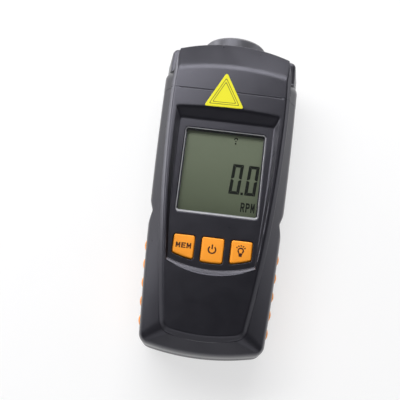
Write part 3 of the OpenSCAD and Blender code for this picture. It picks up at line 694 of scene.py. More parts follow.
def key_loop(x, width, out=0.0):
    """Outline of a key, grown by out: square above, cut along the well's curved end below."""
    half, arc_r = width / 2 + out, KEY_ARC_R + out
    xs = np.linspace(x - half, x + half, 5)
    low = [[px, KEY_END_Y + KEY_ARC_R - np.sqrt(arc_r ** 2 - px * px)] for px in xs]
    corners = [*low, [x + half, KEY_TOP_Y + out], [x - half, KEY_TOP_Y + out]]
    return rounded_loop(corners, max(KEY_R + out, 0.25))


print("key outline points:", len(key_loop(*KEYS["power"])))

# %% Heights over the front
END_BLEND, EDGE_BLEND, RIM_BLEND, FAR_INSIDE = 2.2, 0.5, 0.28, -9


def panel_gap(pts):
    """Signed distance of places to the panel's outline, negative inside it."""
    x, y = np.abs(pts[:, 0]), pts[:, 1]
    side = (x - panel_half(y)) * side_normals(panel_half, y)[:, 0]
    end = np.hypot(x, y - (PANEL_END_Y + PANEL_BOW)) - PANEL_BOW
    end = np.where(y < PANEL_END_Y + PANEL_BOW / 2, end, FAR_INSIDE)
    return soft_max(side, end, END_BLEND)


def panel_edge(gap):
    """Height of the bevel around the panel where its outline has been grown by gap."""
    return SHOULDER_Z + BEVEL_H - gap


def panel_height(x, y, gap):
    z = soft_min(panel_edge(gap), crown(x), EDGE_BLEND)
    return soft_min(z, well_wall(y, well_spread(x, y)), RIM_BLEND)


def crown_height(x, y):
    x, y = np.array([x]), np.array([y])
    return float(panel_height(x, y, panel_gap(np.stack([x, y], -1)))[0])


print("crown height beside the well, mm:", round(crown_height(0.0, 41.0), 2))

# %% Front shell mesh
LEDGE_INSET = 1.2
SIDE_ROWS = [
    (0.1, 0.0), (0, 0.12), (0, 3), (0, 6), (0.04, 7.1), (0.2, 8.4), (0.52, 9.7), (0.85, 10.5),
]
BEVEL_ROWS = [
    (2.5, 0.25), (2.46, 0.08), (2.36, 0), (2.1, 0), (1.6, 0), (1.1, 0), (0.6, 0), (0.3, 0), (0.1, 0),
    (-0.08, 0), (-0.24, 0), (-PANEL_RIM, 0),
]
WELL_ROWS = [0.8, 0.7, 0.58, 0.46, 0.36, 0.28, 0.2, 0.13, 0.07, 0.02, -0.04, -0.1, -0.14, -0.2]
WINDOW_ROWS = [(0.4, 0), (0.25, 0), (0.08, 0.07), (0, 0.25), (0, WINDOW_SEAT)]


def build_front_shell():
    skin = Skin()
    counts = (150, 14, 40)
    body, body_n = u_outline(body_half, FOOT_Y, FOOT_BOW, CORNER, SEAM_Y, counts)
    panel, panel_n = u_outline(panel_half, PANEL_END_Y, PANEL_BOW, CORNER - 1, SEAM_Y, counts)
    body_n[[0, -1]] = [[1, 0], [-1, 0]]
    panel_n[[0, -1]] = [[1, 0], [-1, 0]]

    def notched(xy):
        x = np.abs(xy[:, 0])
        cut = soft_min(x, notch_limit(xy[:, 1]), 0.4)
        x = np.where(xy[:, 1] > FOOT_Y + 20, cut, x)
        return np.stack([np.sign(xy[:, 0]) * x, xy[:, 1]], -1)

    outer = []
    for inset, rise in SIDE_ROWS:
        outer.append(skin.row(notched(body - body_n * inset), SPLIT_Z + PARTING_GAP + rise))
    ledge = body - body_n * LEDGE_INSET
    foot = panel + panel_n * BEVEL_FOOT
    top = panel + panel_n * (BEVEL_H - 1)
    run, rest = np.linalg.norm(foot - ledge, axis=1), np.linalg.norm(top - foot, axis=1)
    foot_z = LEDGE_Z + (SHOULDER_TOP_Z - LEDGE_Z) * run / (run + rest)
    for t in (0, 0.06, 0.2, 0.4, 0.6, 0.8, 0.93, 1):
        outer.append(skin.row(notched(ledge + (foot - ledge) * t), LEDGE_Z + (foot_z - LEDGE_Z) * t))
    for gap, sink in BEVEL_ROWS:
        xy = panel + panel_n * gap
        z = np.maximum(panel_height(xy[:, 0], xy[:, 1], gap) - sink, foot_z + 0.02)
        outer.append(skin.row(xy, z))
    skin.rows(outer)

    wells = []
    for s in WELL_ROWS:
        loop = well_loop(s)
        z = soft_max(well_wall(loop[:, 1], s), np.full(len(loop), FLOOR_Z), 0.4)
        wells.append(skin.row(loop, soft_min(z, panel_edge(panel_gap(loop)), 0.4)))
    skin.rows(wells, closed=True)

    seam_row = skin.row(across(SEAM_X, SEAM_Y), crown(SEAM_X) - SEAM_DIP)
    border = outer[-1] + seam_row
    crown_points = [panel + panel_n * g for g in (-0.6, -0.85, -1.1, -1.4, -1.8, -2.4)]
    crown_points += [well_loop(s) for s in (0.88, 0.96, 1.04, 1.14, 1.26, 1.4)]
    crown_points += [across(SEAM_X, SEAM_Y - d) for d in (0.32, 0.5)]
    extra = np.concatenate([*crown_points, grid_points((-24, -66), (24.1, 44), 1.6)])
    spread = well_spread(extra[:, 0], extra[:, 1])
    extra = extra[(panel_gap(extra) < -0.52) & (spread > 0.85) & (extra[:, 1] < SEAM_Y - 0.3)]
    skin.fill(border, [wells[0]], extra, crown_height)

    holes = []
    fit, ledge_w = 2 * WINDOW_FIT, 2 * WINDOW_LIP
    window = rounded_rect(WINDOW_W + fit, WINDOW_H + fit, WINDOW_R + WINDOW_FIT, WINDOW_Y)
    lip = rounded_rect(WINDOW_W - ledge_w, WINDOW_H - ledge_w, 1.0, WINDOW_Y)
    rows = [skin.row(grow(window, d), FLOOR_Z - sink) for d, sink in WINDOW_ROWS]
    rows += [skin.row(lip, z) for z in (FLOOR_Z - WINDOW_SEAT, CEILING_Z)]
    skin.rows(rows, closed=True)
    holes.append((rows[0], rows[-1]))
    for x, width in KEYS.values():
        loop = key_loop(x, width, KEY_GAP)
        rows = [skin.row(grow(loop, d), z) for d, z in (
            (0.42, FLOOR_Z), (0.3, FLOOR_Z), (0.1, FLOOR_Z - 0.08), (0, FLOOR_Z - 0.3), (0, CEILING_Z)
        )]
        skin.rows(rows, closed=True)
        holes.append((rows[0], rows[-1]))
    floor_grid = grid_points((-21, -38), (21.1, 31), 2)
    floor_grid = floor_grid[well_spread(floor_grid[:, 0], floor_grid[:, 1]) < -0.3]
    skin.fill(wells[-1], [h[0] for h in holes], floor_grid, lambda x, y: FLOOR_Z)

    inner = [skin.row(body - body_n * WALL, z) for z in (SPLIT_Z + PARTING_GAP, 24.5)]
    inner.append(skin.row(body - body_n * (WALL + LEDGE_INSET), 27.6))
    inner.append(skin.row(panel - panel_n * 0.9, CEILING_Z))
    seam_in = across(SEAM_X, SEAM_Y), CEILING_Z
    skin.close_shell(outer, inner, seam_row, seam_in, [h[1] for h in holes])
    return skin.build("front_shell_skin", HOUSING)


def dress(piece, body, slot, *nodes):
    """A piece rides a body and stands for the named nodes. Its slot argument is not used."""
    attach(piece, body)
    if nodes:
        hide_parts(*nodes)


dress(build_front_shell(), "housing", "housing", "front_shell")

# %% [markdown]
# ## Head cap
# The head is a separate moulding beyond the seam. Its flanks lean in from the parting line and end
# in a low brow, the full shoulders of the body end in rounded cheeks on them, and the raised panel
# runs on, breaks along an arched crease and slopes down to a curved lip. It is built like the front
# shell, as rows from the parting line up, and a cylinder is cut out of its end for the nose.

# %% Head outlines
HEAD_BASE_HALF, HEAD_END_HALF, HEAD_BASE_Y, HEAD_BOW = 31.2, 30.0, 61.6, 130.0
FLANK_LOW_HALF, FLANK_END_HALF, BROW_Z, SHOULDER_END_Z = 29.7, 29.2, 29.8, 34.18
CREASE_R, FACET_L, FACET_DROP, LIP_R, LIP_SET = 66.0, 12.5, 3.3, 78.0, 0.1
NOSE_Z, NOSE_R, NOSE_TAIL_Y, NOSE_CLEAR, BORE_L = 17.8, 15.0, 62.1, 0.15, 20
HEAD_START_Y, HEAD_CEILING_Z = SEAM_Y + SEAM_CLEAR, 31.4


def head_outline(half, end_y, bow_r, corner, counts=(64, 10, 40)):
    """The outline of the front shell's kind, turned round so that it ends at the nose."""
    points, normals = u_outline(lambda q: half(-q), -end_y, bow_r, corner, -HEAD_START_Y, counts)
    turned = np.array([1, -1])
    return points * turned, normals * turned


def head_base_half(y):
    low = (y - SEAM_Y) / (HEAD_BASE_Y - SEAM_Y)
    high = (y - HEAD_BASE_Y) / (HEAD_Y + 1 - HEAD_BASE_Y)
    return np.minimum(
        BODY_HALF + (HEAD_BASE_HALF - BODY_HALF) * low,
        HEAD_BASE_HALF + (HEAD_END_HALF - HEAD_BASE_HALF) * high,
    )


def flank_top_half(y):
    share = (y - SEAM_Y + 1) / (HEAD_Y + 2 - SEAM_Y)
    return FLANK_LOW_HALF + (FLANK_END_HALF - FLANK_LOW_HALF) * share


def cheek_half(y, z):
    """Half width of the full shoulder at a height, rounded off where it ends on the head."""
    inset = np.interp(
        z, [26, SIDE_Z, 28.8, LEDGE_Z, SHOULDER_TOP_Z], [0, 0.05, 0.55, LEDGE_INSET, BODY_HALF - 26.4]
    )
    set_back = np.interp(z, [SIDE_Z, LEDGE_Z, SHOULDER_TOP_Z], [0, LEDGE_INSET, 2])
    past = np.clip(y - (CHEEK_Y - set_back - CORNER), 0, CORNER)
    return BODY_HALF - inset - CORNER + np.sqrt(CORNER ** 2 - past ** 2)


def on_shoulder(y):
    """1 on the full shoulder, 0 beyond its rounded end."""
    t = np.clip((CHEEK_Y - 1 - y) / 2.5, 0, 1)
    return t * t * (3 - 2 * t)


def brow_height(y):
    """Height of the ledge beside the panel: the shoulder's top, then the lower brow of the head."""
    return BROW_Z + (SHOULDER_END_Z - BROW_Z) * on_shoulder(y)


def head_height(x, y, gap):
    """Height of the head's panel: bevel, crown and the facet beyond the crease."""
    reach = np.hypot(x, y - (CREASE_Y - CREASE_R)) - CREASE_R
    top = soft_min(panel_edge(gap), crown(x), EDGE_BLEND)
    return soft_min(top, TOP_Z - FACET_DROP * reach / FACET_L, 0.42)


print("lip height at the middle, mm:", round(float(head_height(0.0, HEAD_Y - LIP_SET, 2.5)), 2))

# %% Head cap mesh
HEAD_LOW_Z, CHEEK_LIMIT_Y = SPLIT_Z + PARTING_GAP, 60
FLANK_LEVELS = [HEAD_LOW_Z, HEAD_LOW_Z + 0.1, 21, 23, 25, 26, 27, 27.9, 28.8, 29.5, 30.2, 31, 32]
BROW_ROWS = [(32.6, 0.02), (33.1, 0.1), (33.5, 0.24), (33.8, 0.44), (34.0, 0.7), (34.1, 1.0)]
HEAD_TOP_ROWS = [
    (2.5, 0, 9), (2.5, 0, 0.28), (2.47, 0.03, 0.1), (2.38, 0.12, 0.02), (2.2, 0.3, 0), (1.7, 0.6, 0),
    (1.1, 0.9, 0), (0.6, 1.2, 0), (0.3, 1.5, 0), (0.1, 1.8, 0), (-0.08, 2.1, 0), (-0.24, 2.4, 0),
    (-PANEL_RIM, 2.7, 0),
]


def build_head():
    skin = Skin()
    base, base_n = head_outline(head_base_half, HEAD_Y, HEAD_BOW, 3.4)
    brow, _ = head_outline(flank_top_half, HEAD_Y, HEAD_BOW, 2.4)

    def flank(level, inset):
        """A row of the flank. Its level is the height on the full shoulder, and less on the brow."""
        y = base[:, 1]
        share = (brow_height(y) - HEAD_LOW_Z) / (SHOULDER_END_Z - HEAD_LOW_Z)
        z = HEAD_LOW_Z + (level - HEAD_LOW_Z) * share
        lean = np.minimum((z - SPLIT_Z) / (BROW_Z - SPLIT_Z), 1)[:, None]
        xy = base + (brow - base) * lean - base_n * (inset * (1 - on_shoulder(y)))[:, None]
        own = np.abs(xy[:, 0]) - 4 * on_shoulder(y)
        wide = np.minimum(soft_max(own, cheek_half(xy[:, 1], z), 0.35), BODY_HALF)
        x = np.where(xy[:, 1] < CHEEK_LIMIT_Y, np.sign(xy[:, 0]) * wide, xy[:, 0])
        return np.stack([x, xy[:, 1]], -1), z

    outer = []
    for level, inset in [(z, 0) for z in FLANK_LEVELS] + BROW_ROWS:
        outer.append(skin.row(*flank(level, inset)))
    for gap, set_back, sink in HEAD_TOP_ROWS:
        xy, _ = head_outline(lambda y: panel_half(y) + gap, HEAD_Y - LIP_SET - set_back, LIP_R, 0.6)
        z = np.maximum(head_height(xy[:, 0], xy[:, 1], gap) - sink, brow_height(xy[:, 1]))
        outer.append(skin.row(xy, z))
    skin.rows(outer)

    seam_row = skin.row(across(SEAM_X, HEAD_START_Y), crown(SEAM_X))
    arcs = np.radians(np.linspace(60, 120, 70))
    ray, crease_centre = np.stack([np.cos(arcs), np.sin(arcs)], -1), [0, CREASE_Y - CREASE_R]
    extra = [grid_points((-24, 46), (24.1, 69), 1.2)]
    extra += [ray * (CREASE_R + r) + crease_centre for r in np.linspace(-2.0, 2.0, 13)]
    extra = np.concatenate(extra)
    edge = skin.flat(outer[-1] + seam_row)
    centre = edge.mean(0)
    extra = extra[inside(centre + (edge - centre) * 0.985, extra)]
    skin.fill(outer[-1] + seam_row, [], extra, lambda x, y: float(head_height(x, y, -3.0)))

    end_y = HEAD_Y - WALL
    base_in, _ = head_outline(lambda y: head_base_half(y) - WALL, end_y, HEAD_BOW, CORNER - WALL)
    brow_in, _ = head_outline(lambda y: flank_top_half(y) - WALL, end_y, HEAD_BOW, 1.0)
    panel_in, _ = head_outline(lambda y: panel_half(y) + 0.5, HEAD_Y - 2 * WALL, LIP_R, 0.6)
    levels = HEAD_LOW_Z, BROW_Z - WALL, HEAD_CEILING_Z
    inner = [skin.row(xy, z) for xy, z in zip((base_in, brow_in, panel_in), levels)]
    skin.close_shell(outer, inner, seam_row, (across(SEAM_X, HEAD_START_Y), HEAD_CEILING_Z))
    return skin.build("head_skin", HOUSING)


def cut_nose_hole(piece):
    """Takes the collar's bore out of the end of the head, and applies the cut."""
    mesh = bpy.data.meshes.new("nose_bore")
    shaped = bmesh.new()
    bore_r = (NOSE_R + NOSE_CLEAR) * MM
    middle = Matrix.Translation(Vector((0, NOSE_TAIL_Y + BORE_L / 2, NOSE_Z)) * MM)
    bmesh.ops.create_cone(
        shaped, cap_ends=True, segments=128, radius1=bore_r, radius2=bore_r, depth=BORE_L * MM,
        matrix=middle @ Matrix.Rotation(math.pi / 2, 4, "X"),
    )
    shaped.to_mesh(mesh)
    shaped.free()
    bore = add_object("nose_bore", mesh)
    cut = piece.modifiers.new("nose_bore", "BOOLEAN")
    cut.object, cut.operation, cut.solver = bore, "DIFFERENCE", "EXACT"
    shape = bpy.data.meshes.new_from_object(piece.evaluated_get(bpy.context.evaluated_depsgraph_get()))
    piece.modifiers.clear()
    bpy.data.objects.remove(bore)
    shape.shade_smooth()
    shape.set_sharp_from_angle(angle=math.radians(SHARP_DEGREES))
    piece.data = shape
    print(f"{piece.name} with its nose hole: {len(shape.polygons)} faces")


head = build_head()
cut_nose_hole(head)
dress(head, "housing", "housing", "head_cap")

# %% [markdown]
# ## Keys and their prints
# Each key is one silicone cap with a soft edge and a flange below the front, and it moves with its
# own switch. The prints are thin films on the caps: plain lettering, a switch sign and a lamp. Films
# are cut from flat outlines with a little thickness, so they catch light like the real print.

# %% Key caps
FLANGE_OUT, FLANGE_T, FLANGE_Z = 1.0, 0.8, CEILING_Z - 0.3
KEY_ROWS = [(0.0, 0.7), (-0.05, 0.4), (-0.16, 0.2), (-0.34, 0.07), (-0.56, 0.015), (-0.8, 0.0)]


def build_key(name, x, width):
    skin = Skin()
    profile = [(FLANGE_OUT, FLANGE_Z - FLANGE_T), (FLANGE_OUT, FLANGE_Z), (0.0, FLANGE_Z)]
    profile += [(out, KEY_TOP_Z - drop) for out, drop in KEY_ROWS]
    skin.stack([skin.row(key_loop(x, width, out), z) for out, z in profile])
    return skin.build(name, KEY_RUBBER)


for key, (x, width) in KEYS.items():
    dress(build_key(f"key_{key}", x, width), f"{key}_key", "key_orange", f"button_{key}")


# %% Films cut from outlines
def film(name, outlines, z, thickness, material):
    """Flat closed outlines in millimetres, each with a list of holes, given a small thickness."""
    skin = Skin()
    for outline, holes in outlines:
        low, high = ([skin.row(loop, h) for loop in (outline, *holes)] for h in (z, z + thickness))
        for a, b in zip(low, high):
            skin.strip(a, b, closed=True)
        skin.fill(low[0], low[1:])
        skin.fill(high[0], high[1:])
    return skin.build(name, material, sharp=20)


def ring_band(centre, r, width, start, stop, count=28):
    """A band along an arc, angles in degrees."""
    angles = np.radians(np.linspace(start, stop, count))
    ray = np.stack([np.cos(angles), np.sin(angles)], -1)
    return np.concatenate([ray * (r + width / 2), ray[::-1] * (r - width / 2)]) + centre, []


def bar(start, stop, width):
    """A straight band between two places."""
    start, stop = np.array(start, float), np.array(stop, float)
    along = unit(stop - start)
    aside = np.array([-along[1], along[0]]) * width / 2
    return np.array([start - aside, stop - aside, stop + aside, start + aside]), []


print("film helpers ready")

# %% Block letters
EYE = [[0.3, 0.58], [0.3, 0.81], [0.62, 0.81], [0.7, 0.74], [0.7, 0.65], [0.62, 0.58]]
BLOCK_LETTERS = {
    "M": ([
        [0, 0], [0, 1], [0.29, 1], [0.5, 0.56], [0.71, 1], [1, 1], [1, 0], [0.73, 0], [0.73, 0.52],
        [0.5, 0.08], [0.27, 0.52], [0.27, 0],
    ], []),
    "E": ([
        [0, 0], [0, 1], [1, 1], [1, 0.79], [0.32, 0.79], [0.32, 0.61], [0.88, 0.61], [0.88, 0.4],
        [0.32, 0.4], [0.32, 0.21], [1, 0.21], [1, 0],
    ], []),
    "R": ([
        [0, 0], [0, 1], [0.72, 1], [1, 0.86], [1, 0.54], [0.78, 0.42], [1, 0], [0.68, 0], [0.48, 0.39],
        [0.3, 0.39], [0.3, 0],
    ], [EYE]),
    "P": ([[0, 0], [0, 1], [0.72, 1], [1, 0.86], [1, 0.53], [0.72, 0.39], [0.3, 0.39], [0.3, 0]], [EYE]),
}


def letters(words, low, high, gap):
    """Plain block letters side by side in a box, from its lower left to its upper right corner."""
    low, high = np.array(low, float), np.array(high, float)
    wide = (high[0] - low[0] - gap * (len(words) - 1)) / len(words)
    size = np.array([wide, high[1] - low[1]])
    made = []
    for i, letter in enumerate(words):
        corner = low + [i * (wide + gap), 0]
        outline, holes = BLOCK_LETTERS[letter]
        made.append((corner + np.array(outline) * size, [corner + np.array(h) * size for h in holes]))
    return made


print("block letters:", *BLOCK_LETTERS)

# %% Key prints
PRINT_T, POWER_STROKE = 0.02, 0.66
memory_sign = letters("MEM", (-16.2, -29.9), (-9.4, -27.5), 0.42)
POWER_PLACE = np.array([-0.1, -29.3])
power_sign = [
    ring_band(POWER_PLACE, 1.6, POWER_STROKE, 128, 412),
    bar(POWER_PLACE + [0, 0.3], POWER_PLACE + [0, 2.3], POWER_STROKE),
]
LAMP_PLACE = np.array([12.5, -28.3])
lamp_sign = [
    ring_band(LAMP_PLACE, 1.15, 0.6, -58, 238),
    (LAMP_PLACE + np.array([[-0.95, -1.1], [-0.6, -2.75], [0.6, -2.75], [0.95, -1.1]]), []),
]
for angle in np.radians([36, 63, 90, 117, 144]):
    ray = np.array([math.cos(angle), math.sin(angle)])
    lamp_sign.append(bar(LAMP_PLACE + 1.85 * ray, LAMP_PLACE + 2.55 * ray, 0.55))
for key, sign in zip(KEYS, (memory_sign, power_sign, lamp_sign)):
    dress(film(f"{key}_print", sign, KEY_TOP_Z, PRINT_T, KEY_PRINT), f"{key}_key", None)

# %% [markdown]
# ## Display
# The display shows two seven-segment figures, a point, a unit and a small sign above them. They are
# dark films on the front pane, which lies close under the window and reaches down to the display
# glass. The window's silver outline is a fine rounded bead that is broader along its lower edge, so
# it replaces the flat ring of the solid model.

# %% Display face
DISPLAY_Z, PANE_W, PANE_H, PANE_R, PANE_Y = 32.0, 35.3, 38.7, 0.6, 6.8
PANE_ROWS = [(0.45, 0.2), (0.08, 0.2), (0, 0.14), (0, 0.05), (0.05, 0)]


def build_display_face():
    """The front pane with a softened edge, on a block that reaches down to the display glass."""
    skin = Skin()
    rows = []
    glass_drop = DISPLAY_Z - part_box("lcd_glass")[1][2] / MM
    for inset, drop in [(PANE_ROWS[0][0], glass_drop), *PANE_ROWS]:
        outline = rounded_rect(PANE_W - 2 * inset, PANE_H - 2 * inset, PANE_R, PANE_Y)
        rows.append(skin.row(outline, DISPLAY_Z - drop))
    skin.stack(rows)
    return skin.build("display_polarizer", LCD_FACE)


dress(build_display_face(), "housing", "lcd")

# %% Figures and unit
FIGURE_LOW_Y, FIGURE_H, FIGURE_W, STROKE, SLANT = -1.9, 14.25, 4.95, 1.45, 0.066
FIGURE_X = (4.15, 11.4)
POINT_X, POINT_H, FIGURE_T = (9.7, 10.85), 1.2, 0.03


def figure_zero(x0):
    """The six lit segments of a nought, leaning a little."""
    w, h, t, gap = FIGURE_W, FIGURE_H, STROKE, 0.05
    flat = [[gap, h], [w - gap, h], [w - t - gap, h - t], [t + gap, h - t]]
    shoulder, waist = h - t - gap, h / 2 + 0.2
    upright = [[0, h - gap], [t, shoulder], [t, h / 2 + t / 2], [t / 2, waist], [0, waist]]
    shapes = [np.array(flat), np.array(flat) * [1, -1] + [0, h]]
    for mirror_x in (False, True):
        for mirror_y in (False, True):
            x, y = np.array(upright).T
            shapes.append(np.stack([w - x if mirror_x else x, h - y if mirror_y else y], -1))
    placed = [s + [x0, FIGURE_LOW_Y] + s[:, 1:] * [SLANT, 0] for s in shapes]
    return [(s, []) for s in placed]


reading = [s for x in FIGURE_X for s in figure_zero(x)]
reading.append(bar(*((x, FIGURE_LOW_Y + POINT_H / 2) for x in POINT_X), POINT_H))
reading += letters("RPM", (10.4, -9.75), (16.8, -5.4), 0.5)
reading += [
    ring_band(np.array([5.0, 24.2]), 0.62, 0.5, -30, 210), bar((4.7, 23.2), (5.3, 23.2), 0.45),
    bar((4.65, 22.1), (5.35, 22.1), 0.75),
]
dress(film("display_figures", reading, DISPLAY_Z, FIGURE_T, SEGMENT_INK), "housing", "lcd")

# %% Silver bead around the window
BEAD_W, BEAD_LOW_W, BEAD_SINK = 0.37, 0.5, 0.25
BEAD_ROWS = [
    (0, 0), (0, 0.12), (0.1, 0.2), (0.28, 0.24), (0.46, 0.2), (0.55, 0.12), (0.64, 0.14),
    (0.82, 0.17), (0.95, 0.12), (1, 0),
]


def build_trim():
    skin = Skin()
    outline = rounded_rect(WINDOW_W, WINDOW_H, WINDOW_R, WINDOW_Y, arc=8)
    low_edge = np.clip((WINDOW_Y - WINDOW_H / 2 + WINDOW_R - outline[:, 1]) / 1.2, 0, 1)
    width = (BEAD_W + BEAD_LOW_W * low_edge)[:, None]
    normals = loop_normals(outline)
    seat_z = FLOOR_Z - BEAD_SINK
    rows = [skin.row(outline - normals * width * d, seat_z + z) for d, z in BEAD_ROWS]
    skin.rows([*rows, rows[0]], closed=True)
    return skin.build("display_bead", TRIM_SILVER)


dress(build_trim(), "housing", "silver_trim", "display_trim")

# %% [markdown]
# ## Yellow plate
# A thin triangular plate lies across the seam between body and head. On this part it is bare: it
# carries only the two fine lines that follow its border. It is a film with a rounded edge that
# follows the crown of the panel.

# %% Triangular plate
PLATE_CORNERS = [(-11.5, 36.8), (6.8, 37.2), (-2.75, 54.3)]
PLATE_TOP, PLATE_SINK = 0.09, -0.03
PLATE_ROWS = [
    (0, PLATE_SINK, 0.7), (0, 0.05, 0.7), (0.05, 0.08, 0.65), (0.12, PLATE_TOP, 0.6), (0.6, PLATE_TOP, 0.4),
]
LINE_W, LINE_INSETS, LINE_LOW, LINE_TOP = 0.32, (1.25, 2.15), 0.085, 0.1


def plate_loop(inset, r):
    """The plate's outline, moved inwards by the same distance along all three sides."""
    corners = np.array(PLATE_CORNERS)
    sides = np.linalg.norm(np.roll(corners, -1, 0) - np.roll(corners, 1, 0), axis=1)
    middle = sides @ corners / sides.sum()
    (ax, ay), (bx, by) = corners[1] - corners[0], corners[2] - corners[0]
    inner_r = abs(ax * by - ay * bx) / sides.sum()
    loop = rounded_loop(middle + (corners - middle) * (1 - inset / inner_r), r)
    ahead = np.roll(loop, -1, 0)
    steps = np.where(np.linalg.norm(ahead - loop, axis=1) > 3, 14, 1)
    return np.concatenate([
        a + (b - a) * np.arange(n)[:, None] / n for a, b, n in zip(loop, ahead, steps)
    ])


def build_plate():
    skin = Skin()
    rows = []
    for inset, rise, r in PLATE_ROWS:
        xy = plate_loop(inset, r)
        rows.append(skin.row(xy, crown(xy[:, 0]) + rise))
    skin.rows(rows, closed=True)
    grid = grid_points((-11, 37), (7, 54), 1.0)
    grid = grid[inside(plate_loop(0.9, 0.3), grid)]
    skin.fill(rows[-1], [], grid, lambda x, y: crown(x) + PLATE_TOP)
    skin.fill(rows[0], [], grid, lambda x, y: crown(x) + PLATE_SINK)
    return skin.build("seam_plate", PLATE_YELLOW)


def build_plate_lines():
    skin = Skin()
    for inset in LINE_INSETS:
        loops = plate_loop(inset, 0.4), plate_loop(inset + LINE_W, 0.3)
        rows = [skin.row(loops[side], crown(loops[side][:, 0]) + rise) for side, rise in (
            (0, LINE_LOW), (0, LINE_TOP), (1, LINE_TOP), (1, LINE_LOW)
        )]
        skin.rows([*rows, rows[0]], closed=True)
    return skin.build("seam_plate_lines", PLATE_LINE)


dress(build_plate(), "housing", None)
dress(build_plate_lines(), "housing", None)

# %% [markdown]
# ## Grips
# Soft orange strips sit in the flanks of the lower half, each with five pill-shaped ribs. The strip
# is a grid over the flank, pushed out where a rib lies, with a plain back that fits its seat.

# %% Grip strips
GRIP_LOW_Y, GRIP_HIGH_Y, GRIP_LOW_Z, GRIP_HIGH_Z = -65.4, -22.6, 8.9, 17.7
GRIP_SEAT, GRIP_SKIN, GRIP_END_GAP = 1.1, 0.3, 0.1
RIB_OUT, RIB_R, RIB_COUNT, RIB_STRAIGHT = 1.35, 5.0, 5, 1.9


def build_grip(name, side):
    skin = Skin()
    y = np.linspace(GRIP_LOW_Y, GRIP_HIGH_Y, 161)
    pitch = (GRIP_HIGH_Y - GRIP_LOW_Y + 2 * GRIP_END_GAP) / RIB_COUNT
    middle_z = (GRIP_LOW_Z + GRIP_HIGH_Z) / 2
    off = (y - GRIP_LOW_Y + GRIP_END_GAP) % pitch - pitch / 2
    seat = body_half(y) - GRIP_SEAT

    def row(x, z):
        return skin.row(np.stack([side * x, y], -1), z)

    rows = [row(seat, GRIP_LOW_Z)]
    for t in np.linspace(0, 1, 27):
        z = GRIP_LOW_Z + (GRIP_HIGH_Z - GRIP_LOW_Z) * t
        reach = np.hypot(off, max(0, abs(z - middle_z) - RIB_STRAIGHT))
        rib = RIB_OUT - RIB_R + np.sqrt(np.maximum(RIB_R ** 2 - reach ** 2, 0))
        rows.append(row(body_half(y) + soft_max(rib, np.full_like(y, GRIP_SKIN), 0.25), z))
    rows.append(row(seat, GRIP_HIGH_Z))
    skin.rows([*rows, rows[0]])
    for end in (0, -1):
        skin.faces.append(tuple(r[end] for r in rows))
    return skin.build(name, GRIP_RUBBER)


for name, side in (("left", -1), ("right", 1)):
    dress(build_grip(f"grip_{name}", side), "housing", "grip_orange", f"side_grip_{name}")

# %% [markdown]
# ## Floor, world and lights
# The instrument lies on a white floor, which also fills the picture behind it, so plain white is
# mixed into what is seen of it. One large softbox hangs high beyond the head: the head, the crease
# and the upper panel reflect it, and the lower panel stays dark. Low softboxes at the left, behind
# and, weaker, at the right draw the bevels and the curved step, and a wide weak one in front lights
# the foot. The world's horizon is bright behind and dark in front, under a dark top.

# %% Floor
FLOOR_SIZE, FLOOR_DROP, FLOOR_WHITE = 12.0, 0.2, 0.62
floor_mesh = bpy.data.meshes.new("studio_floor")
shaped = bmesh.new()
bmesh.ops.create_grid(shaped, x_segments=48, y_segments=48, size=FLOOR_SIZE / 2)
shaped.to_mesh(floor_mesh)
shaped.free()
FLOOR_PALE = moulded_material(
    "floor_pale", (0.93, 0.93, 0.935), 0.7, 40, 0.02, 0.01, 0.05, specular=0.2
)


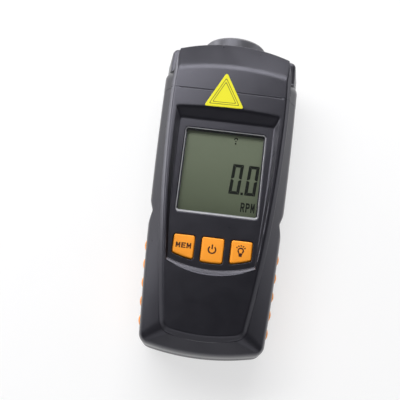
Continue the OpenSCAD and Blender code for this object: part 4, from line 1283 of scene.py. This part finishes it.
def brighten_floor(material, share):
    """Mixes plain white into what is seen of the floor, straight or mirrored, and keeps the shadow."""
    tree = material.node_tree
    path = tree.nodes.new("ShaderNodeLightPath")
    seen = math_node(tree, "MAXIMUM", path.outputs["Is Camera Ray"], path.outputs["Is Glossy Ray"])
    seen = math_node(tree, "MAXIMUM", seen, path.outputs["Is Transmission Ray"])
    white = tree.nodes.new("ShaderNodeEmission")
    mix = tree.nodes.new("ShaderNodeMixShader")
    tree.links.new(math_node(tree, "MULTIPLY", seen, share), mix.inputs[0])
    tree.links.new(tree.nodes["Principled BSDF"].outputs[0], mix.inputs[1])
    tree.links.new(white.outputs[0], mix.inputs[2])
    tree.links.new(mix.outputs[0], tree.nodes["Material Output"].inputs["Surface"])


brighten_floor(FLOOR_PALE, FLOOR_WHITE)
floor_mesh.materials.append(FLOOR_PALE)
studio_floor = add_object("studio_floor", floor_mesh)
studio_floor.location.z = -FLOOR_DROP * MM
print("floor side, m:", FLOOR_SIZE)

# %% World and lights
HORIZON_FRONT, HORIZON_BACK, SKY_TOP = (0.10, 0.10, 0.11, 1), (0.62, 0.62, 0.64, 1), (0.08, 0.08, 0.09, 1)
LIGHT_TARGET = Vector((0, 0, 0.03))
SOFTBOXES = {
    "top_softbox": ((-0.30, 0.61, 0.95), (1.4, 0.40), 13.3),
    "left_softbox": ((-1.00, 0.60, 0.16), (1.0, 0.36), 8.4),
    "back_softbox": ((0.0, 1.25, 0.28), (2.4, 0.30), 15.0),
    "right_softbox": ((1.02, 0.58, 0.20), (0.8, 0.26), 1.4),
    "front_softbox": ((0.05, -1.05, 0.58), (2.2, 0.85), 5.4),
}


def build_world():
    world = bpy.data.worlds.new("studio_world")
    world.use_nodes = True
    tree = world.node_tree
    sky = tree.nodes["Background"]
    axes = place_axes(tree, "Generated")
    behind, above = span_node(tree, axes["Y"], -0.7, 0.1), span_node(tree, axes["Z"], 0.15, 0.55)
    horizon = mix_colours(tree, behind, HORIZON_FRONT, HORIZON_BACK)
    tree.links.new(mix_colours(tree, above, horizon, SKY_TOP), sky.inputs["Color"])
    sky.inputs["Strength"].default_value = 1.0
    return world


bpy.context.scene.world = build_world()
for name, (place, size, power) in SOFTBOXES.items():
    data = bpy.data.lights.new(name, "AREA")
    data.shape = "RECTANGLE"
    data.size, data.size_y = size
    data.energy = power
    lamp = add_object(name, data)
    lamp.location = place
    lamp.rotation_euler = (LIGHT_TARGET - Vector(place)).to_track_quat("-Z", "Y").to_euler()
bpy.context.scene.view_settings.view_transform = "Standard"
